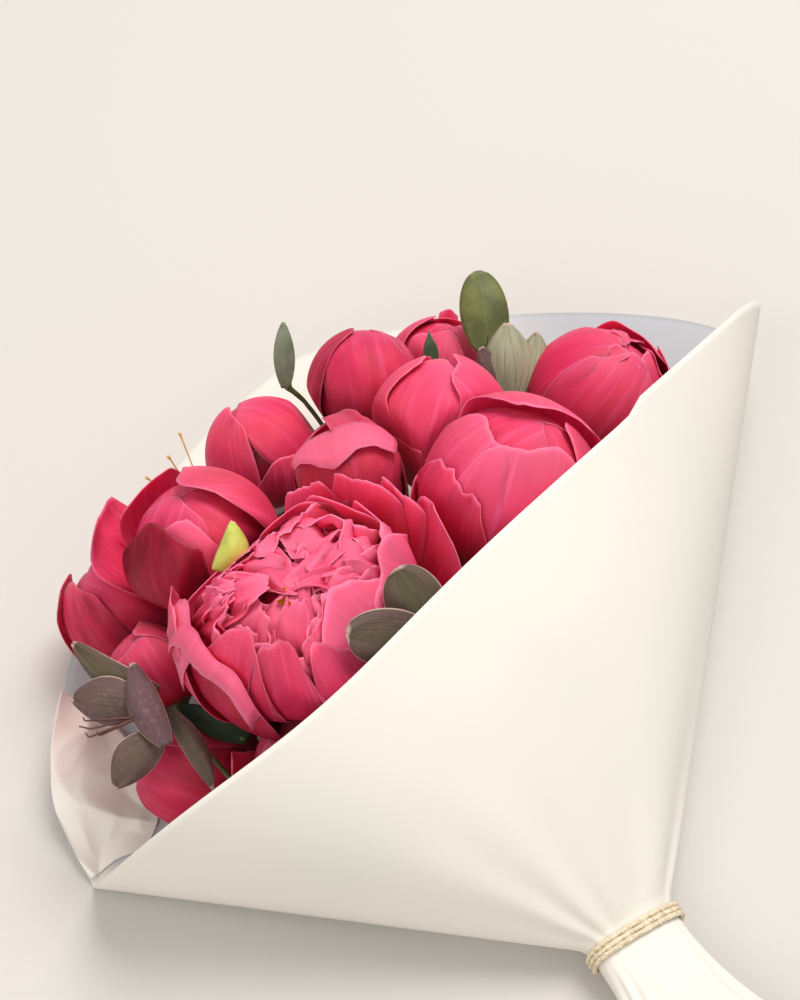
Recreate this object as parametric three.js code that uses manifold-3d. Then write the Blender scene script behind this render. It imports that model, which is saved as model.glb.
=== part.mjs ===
// A bunch of cut peonies with a few hellebores, lying in a white paper wrap.
// Millimetres, +Z up. The bunch lies on the surface z = 0 with its heads towards +Y and its cut stems
// towards -Y. The origin is the middle of the flat stretch of paper that it rests on.
import * as THREE from "three";
import { mergeVertices } from "three/addons/utils/BufferGeometryUtils.js";
import Module from "manifold-3d";

const wasm = await Module();
wasm.setup();

// ---------------------------------------------------------------- driving dimensions
const gap = 0.3; // clearance between neighbouring pieces
const petalThick = 0.8;
const leafThick = 0.8;
const pressSoftness = 6; // depth over which a petal flattens against its neighbour
const nearBy = 2.1; // blooms closer than this many times their radii together press each other
const stemRadius = 3;
const thinStemRadius = 1.6; // of hellebores, single leaves and sprigs
const petioleRadius = 1;
const receptacle = 3.4; // radius of the knob at the middle of a hellebore
const styles = { dome: 3, long: 17, spread: 5, radius: 0.7 }; // the cluster at the middle of a hellebore
const sprig = { radius: 0.6, bead: 1.3, fork: 2, bow: 8 };
const stemEndY = -292;
const tieAt = { x: 5, y: -200, z: 15.7 };
const neck = { halfWide: 21.2, halfTall: 10.9, halfLong: 5 }; // middle of the paper under the tie
const neckPower = 0.72; // squareness of the gathered neck
const skirt = { y: -276, halfWide: 42, halfTall: 15 };
const paperThick = 0.8;
const neckShare = 0.02; // share of the sleeve that lies straight under the tie
const twineRadius = 1.2;
const paper = {
  left: -193, right: 262, // corners of the sheet, at the ends of its straight front edge
  top: 139.6, // height of the front edge over the blooms
  farReach: 175, // how far the back sheet bulges beyond the line between the corners
  belly: 6, // how far its front bulges between the neck and the edge
  squareness: 2.6, // of the front edge, seen from the front
  farLeft: 2.2, // squareness of the back sheet left and right of its middle
  farRight: 1.25,
};
// The paper's front edge lies in one slanted plane: y = atOrigin + alongX * x + alongZ * z.
const edgePlane = { atOrigin: 2.6, alongX: 0.281, alongZ: -0.435 };
// The blooms stay behind this plane, just inside the paper over the front, and over this height.
const frontPlane = { normal: new THREE.Vector3(0.116, -0.575, 0.81), reach: 139.7 };
const bedHeight = 1.9;
// The side of every bloom that faces up and to the front; petal turns are counted from it.
const frontSide = new THREE.Vector3(-0.287, -0.497, 0.819);
const closedCore = 0.9; // the ball under the petals, as a share of the bloom's radius
const openCore = { share: 0.3, below: 0.7 }; // the receptacle of an open bloom, and how far down it sits
const backing = 0.16; // how deep a closed petal is backed, as a share of the radius
const petalForm = {
  cornerDrop: 0.16, tipWave: 0.03, // the tip's outline
  sineFrom: 0.1, sineOver: 0.62, waist: 0.08, // the width, as a stretch of a sine
  rootDraw: 0.13, rootOver: 0.22, // how the root is drawn in towards the stem
  cornerCurl: 0.6, // curl of the side edges, as a share of the tip's
  ruffles: 4.2, // how closely the edge is ruffled
};

// Each bloom: centre, radius of its closed ball, the way it faces (turn from +Y, rise from level), its
// guard petals, and how many inner petals close it. A guard petal is
// [turn, how far its tip stays from the top, half width, stand-off, lean outwards, curl], in degrees but for
// stand-off and curl, which are shares of the radius.
const blooms = {
  rear_left: {
    at: [36, 98, 64], radius: 29.4, faces: [30, 50], inner: 1,
    guards: [[10, 12, 50, 0.08, 0, 0.02], [-72, 4, 46, 0.1, 2, 0.02], [88, 20, 44, 0.1, 2, 0.03]],
  },
  rear_right: {
    at: [86, 106, 34], radius: 29.8, faces: [40, 42], inner: 1,
    guards: [[20, 14, 46, 0.1, 0, 0.03], [-60, 8, 46, 0.12, 3, 0.03], [160, 0, 50, 0.14, 5, 0.05]],
  },
  left_rear: {
    at: [-21, 101, 40], radius: 30.6, faces: [-2, 42], inner: 1,
    guards: [[-58, 10, 54, 0.08, 0, 0.02], [48, 6, 58, 0.07, 0, 0.02], [170, 10, 48, 0.08, 2, 0.02]],
  },
  middle: {
    at: [46, 40, 87], radius: 33.4, faces: [22, 52], inner: 2,
    guards: [[-4, 6, 56, 0.07, 0, 0.02], [74, 12, 50, 0.1, 2, 0.03], [-112, -4, 46, 0.14, 4, 0.05]],
  },
  middle_left: {
    at: [1, 35, 93], radius: 31, faces: [6, 52], inner: 1,
    guards: [[-6, 16, 62, 0.1, 1, 0.05], [92, 8, 44, 0.08, 0, 0.03], [-130, 6, 46, 0.08, 1, 0.02]],
  },
  right: {
    at: [139, 39, 54], radius: 36, faces: [100, 52], inner: 1,
    guards: [[-20, 26, 56, 0.06, 0, 0.02], [66, 34, 50, 0.08, 2, 0.05], [-96, 18, 46, 0.1, 2, 0.02],
      [165, 22, 54, 0.11, 3, 0.04]],
  },
  cupped: {
    at: [49, -17, 104], radius: 41.5, faces: [70, 62], inner: 1,
    guards: [[-48, 28, 52, 0.08, 1, 0.03], [30, 34, 54, 0.1, 2, 0.04], [-168, 6, 62, 0.12, 3, 0.06]],
  },
  half_open: {
    at: [-83, 37, 85], radius: 34, faces: [-24, 66], inner: 1,
    guards: [[-50, 22, 62, 0.18, 10, 0.06], [42, 16, 50, 0.08, 0, 0.02], [162, 26, 50, 0.14, 6, 0.06],
      [-122, 36, 42, 0.2, 11, 0.1]],
  },
  left: {
    at: [-121, 52, 37], radius: 30.5, faces: [-30, 36], inner: 1,
    guards: [[4, 10, 54, 0.07, 0, 0.02], [-86, 16, 44, 0.1, 3, 0.03]],
  },
  left_small: {
    at: [-127, 5, 54], radius: 23.8, faces: [-24, 62], inner: 1,
    guards: [[6, 10, 52, 0.08, 0, 0.02], [120, 8, 46, 0.08, 1, 0.02]],
  },
  left_front: {
    at: [-128, -37, 35], radius: 30, faces: [-62, 28], inner: 1,
    guards: [[-10, 10, 50, 0.08, 0, 0.02], [76, 14, 50, 0.12, 2, 0.03]],
  },
  front: {
    at: [-89, -74, 62], radius: 26, faces: [-56, 44], inner: 1,
    guards: [[-20, 12, 50, 0.1, 0, 0.03], [-110, 6, 52, 0.24, 12, 0.06]],
  },
  open: {
    at: [-67, -31, 104], radius: 47, faces: [-20, 84], inner: 0,
    guards: [[-8, 44, 42, 0.08, 0, 0.04], [46, 38, 40, 0.12, 2, 0.05], [-62, 36, 46, 0.16, 8, 0.08],
      [-36, 32, 42, 0.19, 10, 0.1], [92, 40, 40, 0.12, 6, 0.06], [128, 34, 38, 0.26, 12, 0.06],
      [-112, 52, 40, 0.1, 6, 0.05], [-158, 56, 40, 0.08, 4, 0.04]],
    // Planes that it stays behind, where a hellebore and the curled sepal lie against it.
    flatSides: [{ normal: [0.26, -0.566, 0.782], reach: 121.5 },
      { normal: [-0.273, 0.861, 0.43], reach: 73 }],
    // Rings of ruffled petals inside the cup: how many, share of the radius, tip, half width, ruffle.
    rings: [[5, 0.84, 40, 40, 0.06], [4, 0.6, 30, 44, 0.09], [2, 0.38, 24, 48, 0.1]],
  },
};

// Hellebores: centre, the way each faces, and its sepals as tip, width, how far the middle bows towards
// frontSide, and how much it cups.
const hellebores = {
  hellebore_left: {
    centre: [-143, -26, 84], faces: [-0.62, -0.35, 0.7], styles: true,
    blades: [
      [[-155, 21, 86], 20, 5, 3], [[-168, -7, 88], 25, 4, 4], [[-168, -47, 74], 22, 5, 4],
      [[-134, -73, 82], 17, 5, 5], [[-131, -6, 90], 18, 7, 6],
    ],
  },
  hellebore_edge: {
    centre: [-25, -75, 115], faces: [-0.25, -0.6, 0.76],
    blades: [
      [[-62, -63, 136], 25, 2, 3], [[-28, -46, 137], 26, 2, 3], [[6, -68, 120], 22, 0, 1],
      [[-4, -100, 99], 20, -1, 1], [[-44, -100, 99], 20, -1, 1],
    ],
  },
  hellebore_top: {
    centre: [105, 58, 70], faces: [-0.1, -0.75, 0.65],
    blades: [
      [[117, 82, 88], 18, 4, 5], [[106, 92, 90], 20, 4, 5], [[92, 76, 82], 18, 3, 4],
      [[94, 48, 86], 15, 3, 4],
    ],
  },
};
// Single leaves: which stem bears each, root, tip, width, bow and cup.
const leaves = {
  leaf_top: { root: [101, 82, 70], tip: [115, 118, 90], wide: 25, bow: 4, cup: 4 },
  leaf_rear: { root: [3, 124, 56], tip: [15, 147, 78], wide: 11, bow: 2, cup: 1 },
  leaf_middle: { root: [68, 85, 76], tip: [71, 94, 92], wide: 9, bow: 1, cup: 1 },
  leaf_dark: { root: [-107, -52, 66], tip: [-128, -24, 72], wide: 12, bow: 3, cup: 1 },
};
const curledSepal = { root: [-89.5, 2.7, 116.4], tip: [-67, 15.7, 123.4], wide: 20, bow: 6, cup: 6 };
// Slim sprigs with a bead at each end, all from one stalk behind the half-open bloom.
const sprigFork = [-62, 76, 22];
const sprigTips = [[-107, 86, 70], [-86, 100, 67], [-71, 107, 66], [-60, 117, 66]];

// ---------------------------------------------------------------- small helpers
const v3 = (x, y, z) => new THREE.Vector3(x, y, z);
const rad = THREE.MathUtils.degToRad;
const mix = THREE.MathUtils.lerp;
const ease = THREE.MathUtils.smoothstep;
const goldenTurn = 137.5;

// A repeatable number between -1 and 1.
function wobble(seed) {
  const s = Math.sin(seed * 127.1 + 311.7) * 43758.5453;
  return 2 * (s - Math.floor(s)) - 1;
}

function solidOf(geometry) {
  const bare = new THREE.BufferGeometry().setAttribute("position", geometry.getAttribute("position"));
  bare.setIndex(geometry.index);
  const merged = mergeVertices(bare, 1e-3);
  return new wasm.Manifold(new wasm.Mesh({
    numProp: 3,
    vertProperties: new Float32Array(merged.attributes.position.array),
    triVerts: new Uint32Array(merged.index.array),
  }));
}

function solidFrom(positions, index) {
  const geometry = new THREE.BufferGeometry();
  geometry.setAttribute("position", new THREE.Float32BufferAttribute(positions, 3));
  geometry.setIndex(index);
  return solidOf(geometry);
}

// The same, turned outside out where its faces run the other way round.
function solidEither(positions, index) {
  const solid = solidFrom(positions, index);
  if (solid.volume() > 0) return solid;
  for (let i = 0; i < index.length; i += 3) [index[i + 1], index[i + 2]] = [index[i + 2], index[i + 1]];
  return solidFrom(positions, index);
}

// The largest body of a solid: loose scraps and sealed bubbles are dropped.
function largestBody(solid) {
  return solidOf(geometryOf(solid)).decompose().reduce((a, b) => (b.volume() > a.volume() ? b : a));
}

function geometryOf(solid) {
  const made = solid.getMesh();
  return new THREE.BufferGeometry()
    .setAttribute("position", new THREE.BufferAttribute(made.vertProperties, 3))
    .setIndex(new THREE.BufferAttribute(made.triVerts, 1));
}

// A closed blade between two faces, each given as points across and along.
function bladeBetween(outerAt, innerAt, across, along) {
  const positions = [];
  const index = [];
  for (const faceAt of [outerAt, innerAt])
    for (let j = 0; j <= along; j++)
      for (let i = 0; i <= across; i++)
        positions.push(...faceAt((2 * i) / across - 1, j / along).toArray());
  const row = across + 1;
  const back = row * (along + 1);
  const quad = (a, b, c, d) => index.push(a, b, c, a, c, d);
  for (let j = 0; j < along; j++)
    for (let i = 0; i < across; i++) {
      const a = j * row + i;
      quad(a, a + 1, a + row + 1, a + row);
      index.push(back + a, back + a + row + 1, back + a + 1, back + a, back + a + row, back + a + row + 1);
    }
  for (let i = 0; i < across; i++) {
    const top = along * row + i;
    quad(i, back + i, back + i + 1, i + 1);
    quad(top, top + 1, back + top + 1, back + top);
  }
  for (let j = 0; j < along; j++) {
    const left = j * row;
    const right = left + across;
    quad(left, left + row, back + left + row, back + left);
    quad(right, back + right, back + right + row, right + row);
  }
  return solidEither(positions, index);
}

// A closed blade of one thickness on both sides of a surface.
function blade(pointAt, across, along, thick) {
  const step = 1e-3;
  const shifted = (side) => (u, v) => {
    const du = pointAt(Math.min(u + step, 1), v).sub(pointAt(Math.max(u - step, -1), v));
    const dv = pointAt(u, Math.min(v + step, 1)).sub(pointAt(u, Math.max(v - step, 0)));
    return pointAt(u, v).addScaledVector(du.cross(dv).normalize(), (side * thick) / 2);
  };
  return bladeBetween(shifted(1), shifted(-1), across, along);
}

// ---------------------------------------------------------------- blooms
// A bloom's own axes: up through its top, front towards frontSide, and side to the right of that.
function axesOf(bloom) {
  const [turn, rise] = bloom.faces.map(rad);
  const up = v3(Math.sin(turn) * Math.cos(rise), Math.cos(turn) * Math.cos(rise), Math.sin(rise));
  const front = frontSide.clone().addScaledVector(up, -frontSide.dot(up)).normalize();
  return { up, front, side: up.clone().cross(front) };
}

// Where the stem meets a bloom, below its centre.
const footOf = (bloom) => bloom.radius * (bloom.rings ? 1 : 0.9) + gap + 0.1;

// The flat walls that a bloom is pressed against: one between it and each near neighbour, the paper
// under the bunch and the paper over its front.
function wallsOf(name) {
  const bloom = blooms[name];
  const centre = v3(...bloom.at);
  const walls = [
    { normal: v3(0, 0, -1), reach: centre.z - bedHeight - petalThick / 2 },
    { normal: frontPlane.normal, reach: frontPlane.reach - frontPlane.normal.dot(centre) },
  ];
  for (const side of bloom.flatSides ?? []) {
    const normal = v3(...side.normal);
    walls.push({ normal, reach: side.reach - normal.dot(centre) });
  }
  for (const [other, { at, radius }] of Object.entries(blooms)) {
    if (other === name) continue;
    const away = v3(...at).sub(centre);
    const apart = away.length();
    if (apart > nearBy * (radius + bloom.radius)) continue;
    const reach = (apart + bloom.radius - radius - petalThick - gap) / 2 - 0.1;
    walls.push({ normal: away.normalize(), reach });
  }
  return walls;
}

// Moves a point that would pass a wall back behind it, flattening softly.
function press(point, centre, walls) {
  for (let round = 0; round < 3; round++)
    for (const { normal, reach } of walls) {
      const past = point.clone().sub(centre).dot(normal) - reach + pressSoftness;
      if (past > 0)
        point.addScaledVector(normal, pressSoftness * (1 - Math.exp(-past / pressSoftness)) - past);
    }
  return point;
}

// A point of a petal: u runs across it from -1 to 1, v from its root at 0 to its tip at 1.
function petalPoint(bloom, axes, petal, u, v) {
  const { turn, from, tip, halfWide, standOff, lean, curl, size, ruffle, seed } = petal;
  const spokes = axes.front.clone().multiplyScalar(Math.cos(rad(turn)))
    .addScaledVector(axes.side, Math.sin(rad(turn)));
  const along = axes.up.clone().cross(spokes);
  const form = petalForm;
  const reach = v * (1 - form.cornerDrop * u * u * v) + form.tipWave * Math.sin(5 * u + seed) * v ** 4;
  const polar = mix(from, tip, reach);
  const width = halfWide * Math.sin(Math.PI * (form.sineFrom + form.sineOver * v))
    * (1 - form.waist + form.waist * Math.cos(3 * v));
  const sway = rad(u * width);
  const out = size * (1 - form.rootDraw * (1 - ease(v, 0, form.rootOver)) + standOff * v * v
    + curl * (v ** 4 + form.cornerCurl * u * u * v * v)
    + ruffle * Math.sin(form.ruffles * u + seed) * v ** 3);
  const level = Math.sin(rad(polar)) * Math.cos(sway) * out;
  const rise = Math.cos(rad(polar)) * Math.cos(sway) * out + bloom.radius * (size / bloom.radius - 1) * 0.2;
  const point = v3(0, 0, 0).addScaledVector(spokes, level).addScaledVector(axes.up, rise)
    .addScaledVector(along, Math.sin(sway) * out);
  const root = axes.up.clone().multiplyScalar(-bloom.radius * 0.97);
  point.sub(root).applyAxisAngle(along, rad(lean)).add(root);
  return point;
}

// The petals of one bloom: its closing inner petals or its ruffled rings first, then its guards.
function petalsOf(bloom) {
  const petals = [];
  for (let i = 0; i < bloom.inner; i++)
    petals.push({
      turn: 40 + i * goldenTurn, from: 95, tip: 4, halfWide: 50, standOff: 0.01, lean: 0, curl: 0,
      size: bloom.radius * (0.93 + 0.025 * i), ruffle: 0, seed: i, thin: 0,
    });
  (bloom.rings ?? []).forEach(([count, share, tip, halfWide, ruffle], ring) => {
    for (let i = 0; i < count; i++)
      petals.push({
        turn: 23 * ring + (360 * i) / count + 8 * wobble(ring * 9 + i),
        from: 165, tip: tip + 8 * wobble(ring + i * 5),
        halfWide, standOff: 0.05, lean: 3 * wobble(ring * 3 + i), curl: 0.03,
        size: bloom.radius * share, ruffle, seed: ring * 4 + i, thin: 1,
      });
  });
  bloom.guards.forEach(([turn, tip, halfWide, standOff, lean, curl], i) =>
    petals.push({
      turn, from: 155, tip, halfWide, standOff, lean, curl,
      size: bloom.radius * (1 + 0.03 * i), ruffle: 0.01, seed: 2 * i,
      thin: bloom.rings ? 1 : ease(standOff + lean / 60, 0.12, 0.3),
    }));
  return petals;
}

function makeBloom(name) {
  const bloom = blooms[name];
  const axes = axesOf(bloom);
  const centre = v3(...bloom.at);
  const walls = wallsOf(name);
  const place = (p) => press(p.add(centre), centre, walls);
  // The smaller core that the petals stand out of; an open bloom has only its receptacle.
  const core = new THREE.SphereGeometry(bloom.radius * (bloom.rings ? openCore.share : closedCore), 10, 6);
  core.rotateX(Math.PI / 2);
  core.applyMatrix4(new THREE.Matrix4().makeBasis(axes.side, axes.front.clone().negate(), axes.up));
  if (bloom.rings) {
    const [x, y, z] = axes.up.toArray().map((part) => -part * bloom.radius * openCore.below);
    core.translate(x, y, z);
  }
  const spots = core.getAttribute("position");
  for (let i = 0; i < spots.count; i++) {
    const p = place(v3().fromBufferAttribute(spots, i));
    spots.setXYZ(i, p.x, p.y, p.z);
  }
  const parts = [solidOf(core)];
  for (const petal of petalsOf(bloom)) {
    const outerAt = (u, v) => place(petalPoint(bloom, axes, petal, u, v));
    // A closed petal is backed down into the core; a lifted one thins to a blade towards its tip.
    const innerAt = (u, v) => {
      const p = outerAt(u, v);
      const backed = mix(backing * bloom.radius, petalThick, petal.thin * ease(v, 0.25, 0.6));
      return p.addScaledVector(p.clone().sub(centre).normalize(), -backed);
    };
    parts.push(petal.thin === 1
      ? blade(outerAt, 3, 3, petalThick)
      : bladeBetween(outerAt, innerAt, 3, petal.from < 100 ? 3 : 4));
  }
  return largestBody(wasm.Manifold.union(parts).simplify(2));
}

// ---------------------------------------------------------------- stems
const stationStep = 14;
const straightRun = 20; // how far before the tie the stems come to lie side by side
const rowRise = 5.5; // between the rows of stems in the tie
const beside = 0.4; // air between stems in a row
const lead = 10; // how far a stem leaves its head straight
const headRoom = 15; // other stems keep this far from the foot of a bloom
const spread = 1.22; // of the cut ends, against the tie

// Every stem: its head, the way it leaves its head, its radius and its row in the tie.
function stemList() {
  const byHeight = Object.keys(blooms).sort((a, b) => blooms[b].at[2] - blooms[a].at[2]);
  const rowOf = (rank) => (rank < 4 ? 1 : rank < 9 ? 0 : -1);
  const stems = byHeight.map((name, rank) => {
    const { up } = axesOf(blooms[name]);
    const head = v3(...blooms[name].at).addScaledVector(up, -footOf(blooms[name]));
    return { name, head, leaves: up.clone().negate(), radius: stemRadius, row: rowOf(rank) };
  });
  const thin = (name, at, away, row) => {
    const leaves = v3(...away).normalize();
    const head = v3(...at).addScaledVector(leaves, hellebores[name] ? receptacle + 2 * gap : 0);
    stems.push({ name, head, leaves, radius: thinStemRadius, row });
  };
  thin("hellebore_left", hellebores.hellebore_left.centre, [0.7, -0.1, -0.7], 0);
  thin("hellebore_edge", hellebores.hellebore_edge.centre, [0.1, -0.3, -0.95], 1);
  thin("hellebore_top", hellebores.hellebore_top.centre, [0.1, -0.2, -0.97], 1);
  thin("sprigs", sprigFork, [0, -0.9, -0.1], -1);
  thin("leaf_rear", leaves.leaf_rear.root, [0.25, -0.2, -0.95], -1);
  thin("leaf_middle", leaves.leaf_middle.root, [0.1, -0.1, -1], 0);
  return stems;
}

// The free paths of all stems from their heads to the tie, where each row lies in the order of the heads.
// They are drawn tight between their ends, and pushed off each other, off the blooms and off the paper.
function layStems() {
  const stems = stemList();
  const turnOf = (stem) => Math.atan2(stem.head.x - tieAt.x, stem.head.y - tieAt.y);
  for (const row of [1, 0, -1]) {
    const members = stems.filter((stem) => stem.row === row).sort((a, b) => turnOf(a) - turnOf(b));
    let across = 0;
    members.forEach((stem, i) => {
      if (i) across += members[i - 1].radius + stem.radius + beside;
      stem.slot = [across, row * rowRise];
    });
    for (const stem of members) stem.slot[0] -= across / 2;
  }
  for (const stem of stems) {
    const start = stem.head.clone().addScaledVector(stem.leaves, lead);
    const count = Math.max(4, Math.round((start.y - tieAt.y - straightRun) / stationStep));
    const goal = v3(tieAt.x + 1.14 * stem.slot[0], tieAt.y + straightRun, tieAt.z + 1.08 * stem.slot[1]);
    stem.points = Array.from({ length: count + 1 }, (_, k) => start.clone().lerp(goal, k / count));
  }
  for (let round = 0; round < 260; round++) relax(stems, round < 200 ? 0.3 : 0);
  return stems;
}

// One round of drawing the stems tight by a share of their bend, then pushing them clear.
function relax(stems, share) {
  for (const stem of stems)
    for (let k = 1; k < stem.points.length - 1; k++) {
      const p = stem.points[k];
      const middle = stem.points[k - 1].clone().add(stem.points[k + 1]).multiplyScalar(0.5);
      p.lerp(v3(middle.x, p.y, middle.z), share);
    }
  for (const stem of stems)
    for (let k = 0; k < stem.points.length - 1; k++) {
      const p = stem.points[k];
      const station = p.y;
      const keepOff = (from, need, part = 1) => {
        const off = p.clone().sub(from);
        if (off.length() < need) p.addScaledVector(off.clone().normalize(), (need - off.length()) * part);
      };
      for (const other of stems) {
        if (other === stem) continue;
        for (let i = 0; i < other.points.length - 1; i++)
          keepOff(nearestOn(other.points[i], other.points[i + 1], p), stem.radius + other.radius + 1.1, 0.5);
        if (other.radius === stemRadius) keepOff(other.head, headRoom + stem.radius);
      }
      for (const bloom of Object.values(blooms))
        keepOff(v3(...bloom.at), bloom.radius * (bloom.rings ? 1.25 : 1.16) + stem.radius + 1.5);
      p.y = station;
      p.z = Math.max(p.z, paperThick + stem.radius + 1.2);
    }
}

function nearestOn(a, b, p) {
  const ab = b.clone().sub(a);
  const t = THREE.MathUtils.clamp(p.clone().sub(a).dot(ab) / ab.lengthSq(), 0, 1);
  return a.clone().addScaledVector(ab, t);
}

// The whole course of a stem: out of its head, along some points of its free path, through the tie and to
// its cut end.
function courseOf(stem) {
  const [x, z] = stem.slot;
  const end = v3(tieAt.x + x * spread, stemEndY + 3 * wobble(x), tieAt.z + z * spread);
  const tied = v3(tieAt.x + x, tieAt.y, tieAt.z + z);
  const last = stem.points.length - 1;
  const stride = stem.radius === stemRadius ? 3 : 2;
  const kept = stem.points.filter((_, k) => k === last || (k % stride === 0 && k < last));
  return [stem.head, ...kept, tied, end];
}

// A round rod along a line of points, with one corner of its section always level with them.
function rod(points, radius, sides) {
  const positions = [];
  const index = [];
  const last = points.length - 1;
  points.forEach((p, k) => {
    const along = points[Math.min(k + 1, last)].clone().sub(points[Math.max(k - 1, 0)]).normalize();
    const level = along.clone().cross(v3(0, 0, 1)).normalize();
    const upright = level.clone().cross(along);
    for (let i = 0; i < sides; i++) {
      const angle = (2 * Math.PI * i) / sides;
      const corner = p.clone().addScaledVector(level, radius * Math.cos(angle));
      positions.push(...corner.addScaledVector(upright, radius * Math.sin(angle)).toArray());
    }
  });
  for (let k = 0; k < last; k++)
    for (let i = 0; i < sides; i++) {
      const a = k * sides + i;
      const b = k * sides + ((i + 1) % sides);
      index.push(a, a + sides, b + sides, a, b + sides, b);
    }
  for (let i = 1; i < sides - 1; i++) {
    index.push(0, i, i + 1);
    index.push(last * sides, last * sides + i + 1, last * sides + i);
  }
  return solidEither(positions, index);
}

// The sepals that spread from the top of a stem along the underside of its bloom.
function calyx(name) {
  const bloom = blooms[name];
  const { up, front, side } = axesOf(bloom);
  const centre = v3(...bloom.at);
  const walls = wallsOf(name).map(({ normal, reach }) => ({ normal, reach: reach - 0.5 }));
  const parts = [];
  for (let i = 0; i < 5 && parts.length < 2; i++) {
    const petal = {
      turn: 100 + 72 * i, from: 178, tip: 146, halfWide: 15, standOff: 0.02, lean: 0, curl: 0.02,
      size: bloom.radius * (bloom.rings ? 1.26 : 1.14) + 1, ruffle: 0, seed: i,
    };
    const free = (u, v) => petalPoint(bloom, { up, front, side }, petal, u, v).add(centre);
    const pressed = press(free(0, 1), centre, walls).distanceTo(free(0, 1));
    if (pressed < 0.6) parts.push(blade(free, 1, 2, leafThick));
  }
  return parts;
}

// ---------------------------------------------------------------- leaves, hellebores and sprigs
// A point of a leaf: u across it from -1 to 1, v from root to tip.
function leafPoint({ root, tip, wide, bow, cup }, u, v) {
  const from = v3(...root);
  const run = v3(...tip).sub(from);
  const face = frontSide.clone().addScaledVector(run, -frontSide.dot(run) / run.lengthSq()).normalize();
  const broad = run.clone().cross(face).normalize();
  const half = (wide / 2) * Math.sin(Math.PI * (0.1 + 0.84 * v)) ** 0.8;
  return from.addScaledVector(run, v).addScaledVector(broad, u * half)
    .addScaledVector(face, (bow - cup * u * u) * Math.sin(Math.PI * v));
}

const leafBlade = (leaf, across, along) => blade((u, v) => leafPoint(leaf, u, v), across, along, leafThick);

function makeHellebore(name) {
  const { centre, blades } = hellebores[name];
  const parts = [solidOf(new THREE.SphereGeometry(receptacle, 6, 5).translate(...centre))];
  for (const [tip, wide, bow, cup] of blades) {
    const root = v3(...centre).lerp(v3(...tip), 0.085).toArray();
    parts.push(leafBlade({ root, tip, wide, bow, cup }, 2, 3));
  }
  return largestBody(wasm.Manifold.union(parts).simplify(0.5));
}

// The cluster at the middle of a hellebore: a small dome with slim styles.
function makeStyles(name) {
  const { centre, faces } = hellebores[name];
  const out = v3(...faces).normalize();
  const aside = v3(0, 0, 1).cross(out).normalize();
  const above = out.clone().cross(aside);
  const at = v3(...centre).addScaledVector(out, receptacle + styles.dome + gap);
  const parts = [solidOf(new THREE.SphereGeometry(styles.dome, 6, 4).translate(...at.toArray()))];
  const count = 5;
  for (let i = 0; i < count; i++) {
    const turn = (2 * Math.PI * i) / count;
    const spoke = aside.clone().multiplyScalar(Math.cos(turn)).addScaledVector(above, Math.sin(turn));
    const tip = at.clone().addScaledVector(out, styles.long).addScaledVector(spoke, styles.spread);
    const bend = at.clone().addScaledVector(out, styles.long / 2).addScaledVector(spoke, styles.spread / 3);
    parts.push(rod(new THREE.QuadraticBezierCurve3(at, bend, tip).getPoints(2), styles.radius, 3));
  }
  return largestBody(wasm.Manifold.union(parts));
}

function makeSprigs(course) {
  const parts = [course];
  for (const at of sprigTips) {
    const tip = v3(...at);
    const root = v3(...sprigFork);
    const bend = root.clone().lerp(tip, 0.5).add(v3(0, 0, sprig.bow));
    parts.push(rod(new THREE.QuadraticBezierCurve3(root, bend, tip).getPoints(3), sprig.radius, 3));
    parts.push(solidOf(new THREE.SphereGeometry(sprig.bead, 5, 3).translate(...at)));
  }
  parts.push(solidOf(new THREE.SphereGeometry(sprig.fork, 6, 4).translate(...sprigFork)));
  return largestBody(wasm.Manifold.union(parts));
}

// ---------------------------------------------------------------- paper, tissue and tie
const bulge = (s, power) => Math.max(0, 1 - Math.abs(s) ** power) ** (1 / power);
const edgeAt = (x, z) => v3(x, edgePlane.atOrigin + edgePlane.alongX * x + edgePlane.alongZ * z, z);

// The rim of the sleeve: a straight front edge over the blooms, and a rounded far edge on the table.
function rimAt(turn) {
  const half = (paper.right - paper.left) / 2;
  const s = Math.cos(turn);
  const x = paper.left + half * (1 + s);
  const low = paperThick / 2;
  if (Math.sin(turn) >= 0) return edgeAt(x, low + paper.top * bulge(s, paper.squareness));
  const chord = edgeAt(x, low);
  return chord.setY(chord.y + paper.farReach * bulge(s, s < 0 ? paper.farLeft : paper.farRight));
}

// A point of the sleeve: turn round it, and v from the skirt's hem at -1 through the neck at 0 to the rim
// at 1.
function sleevePoint(turn, v) {
  const c = Math.sign(Math.cos(turn)) * Math.abs(Math.cos(turn)) ** neckPower;
  const s = Math.sign(Math.sin(turn)) * Math.abs(Math.sin(turn)) ** neckPower;
  const waist = v3(tieAt.x + c * neck.halfWide, tieAt.y + neck.halfLong, tieAt.z + s * neck.halfTall);
  if (v < 0) {
    const t = v * v;
    return v3(tieAt.x + c * mix(neck.halfWide, skirt.halfWide, t), mix(tieAt.y - neck.halfLong, skirt.y, -v),
      tieAt.z + s * mix(neck.halfTall, skirt.halfTall, t));
  }
  if (v < neckShare) return waist.setY(tieAt.y + mix(-neck.halfLong, neck.halfLong, v / neckShare));
  const rim = rimAt(turn);
  const t = (v - neckShare) / (1 - neckShare);
  const p = waist.clone().lerp(rim, t);
  if (s >= 0) p.z += paper.belly * Math.sin(Math.PI * t) * s;
  else p.z = mix(p.z, mix(waist.z, rim.z, ease(t, 0, 0.22)), ease(-s, 0, 0.8));
  return p;
}

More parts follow.
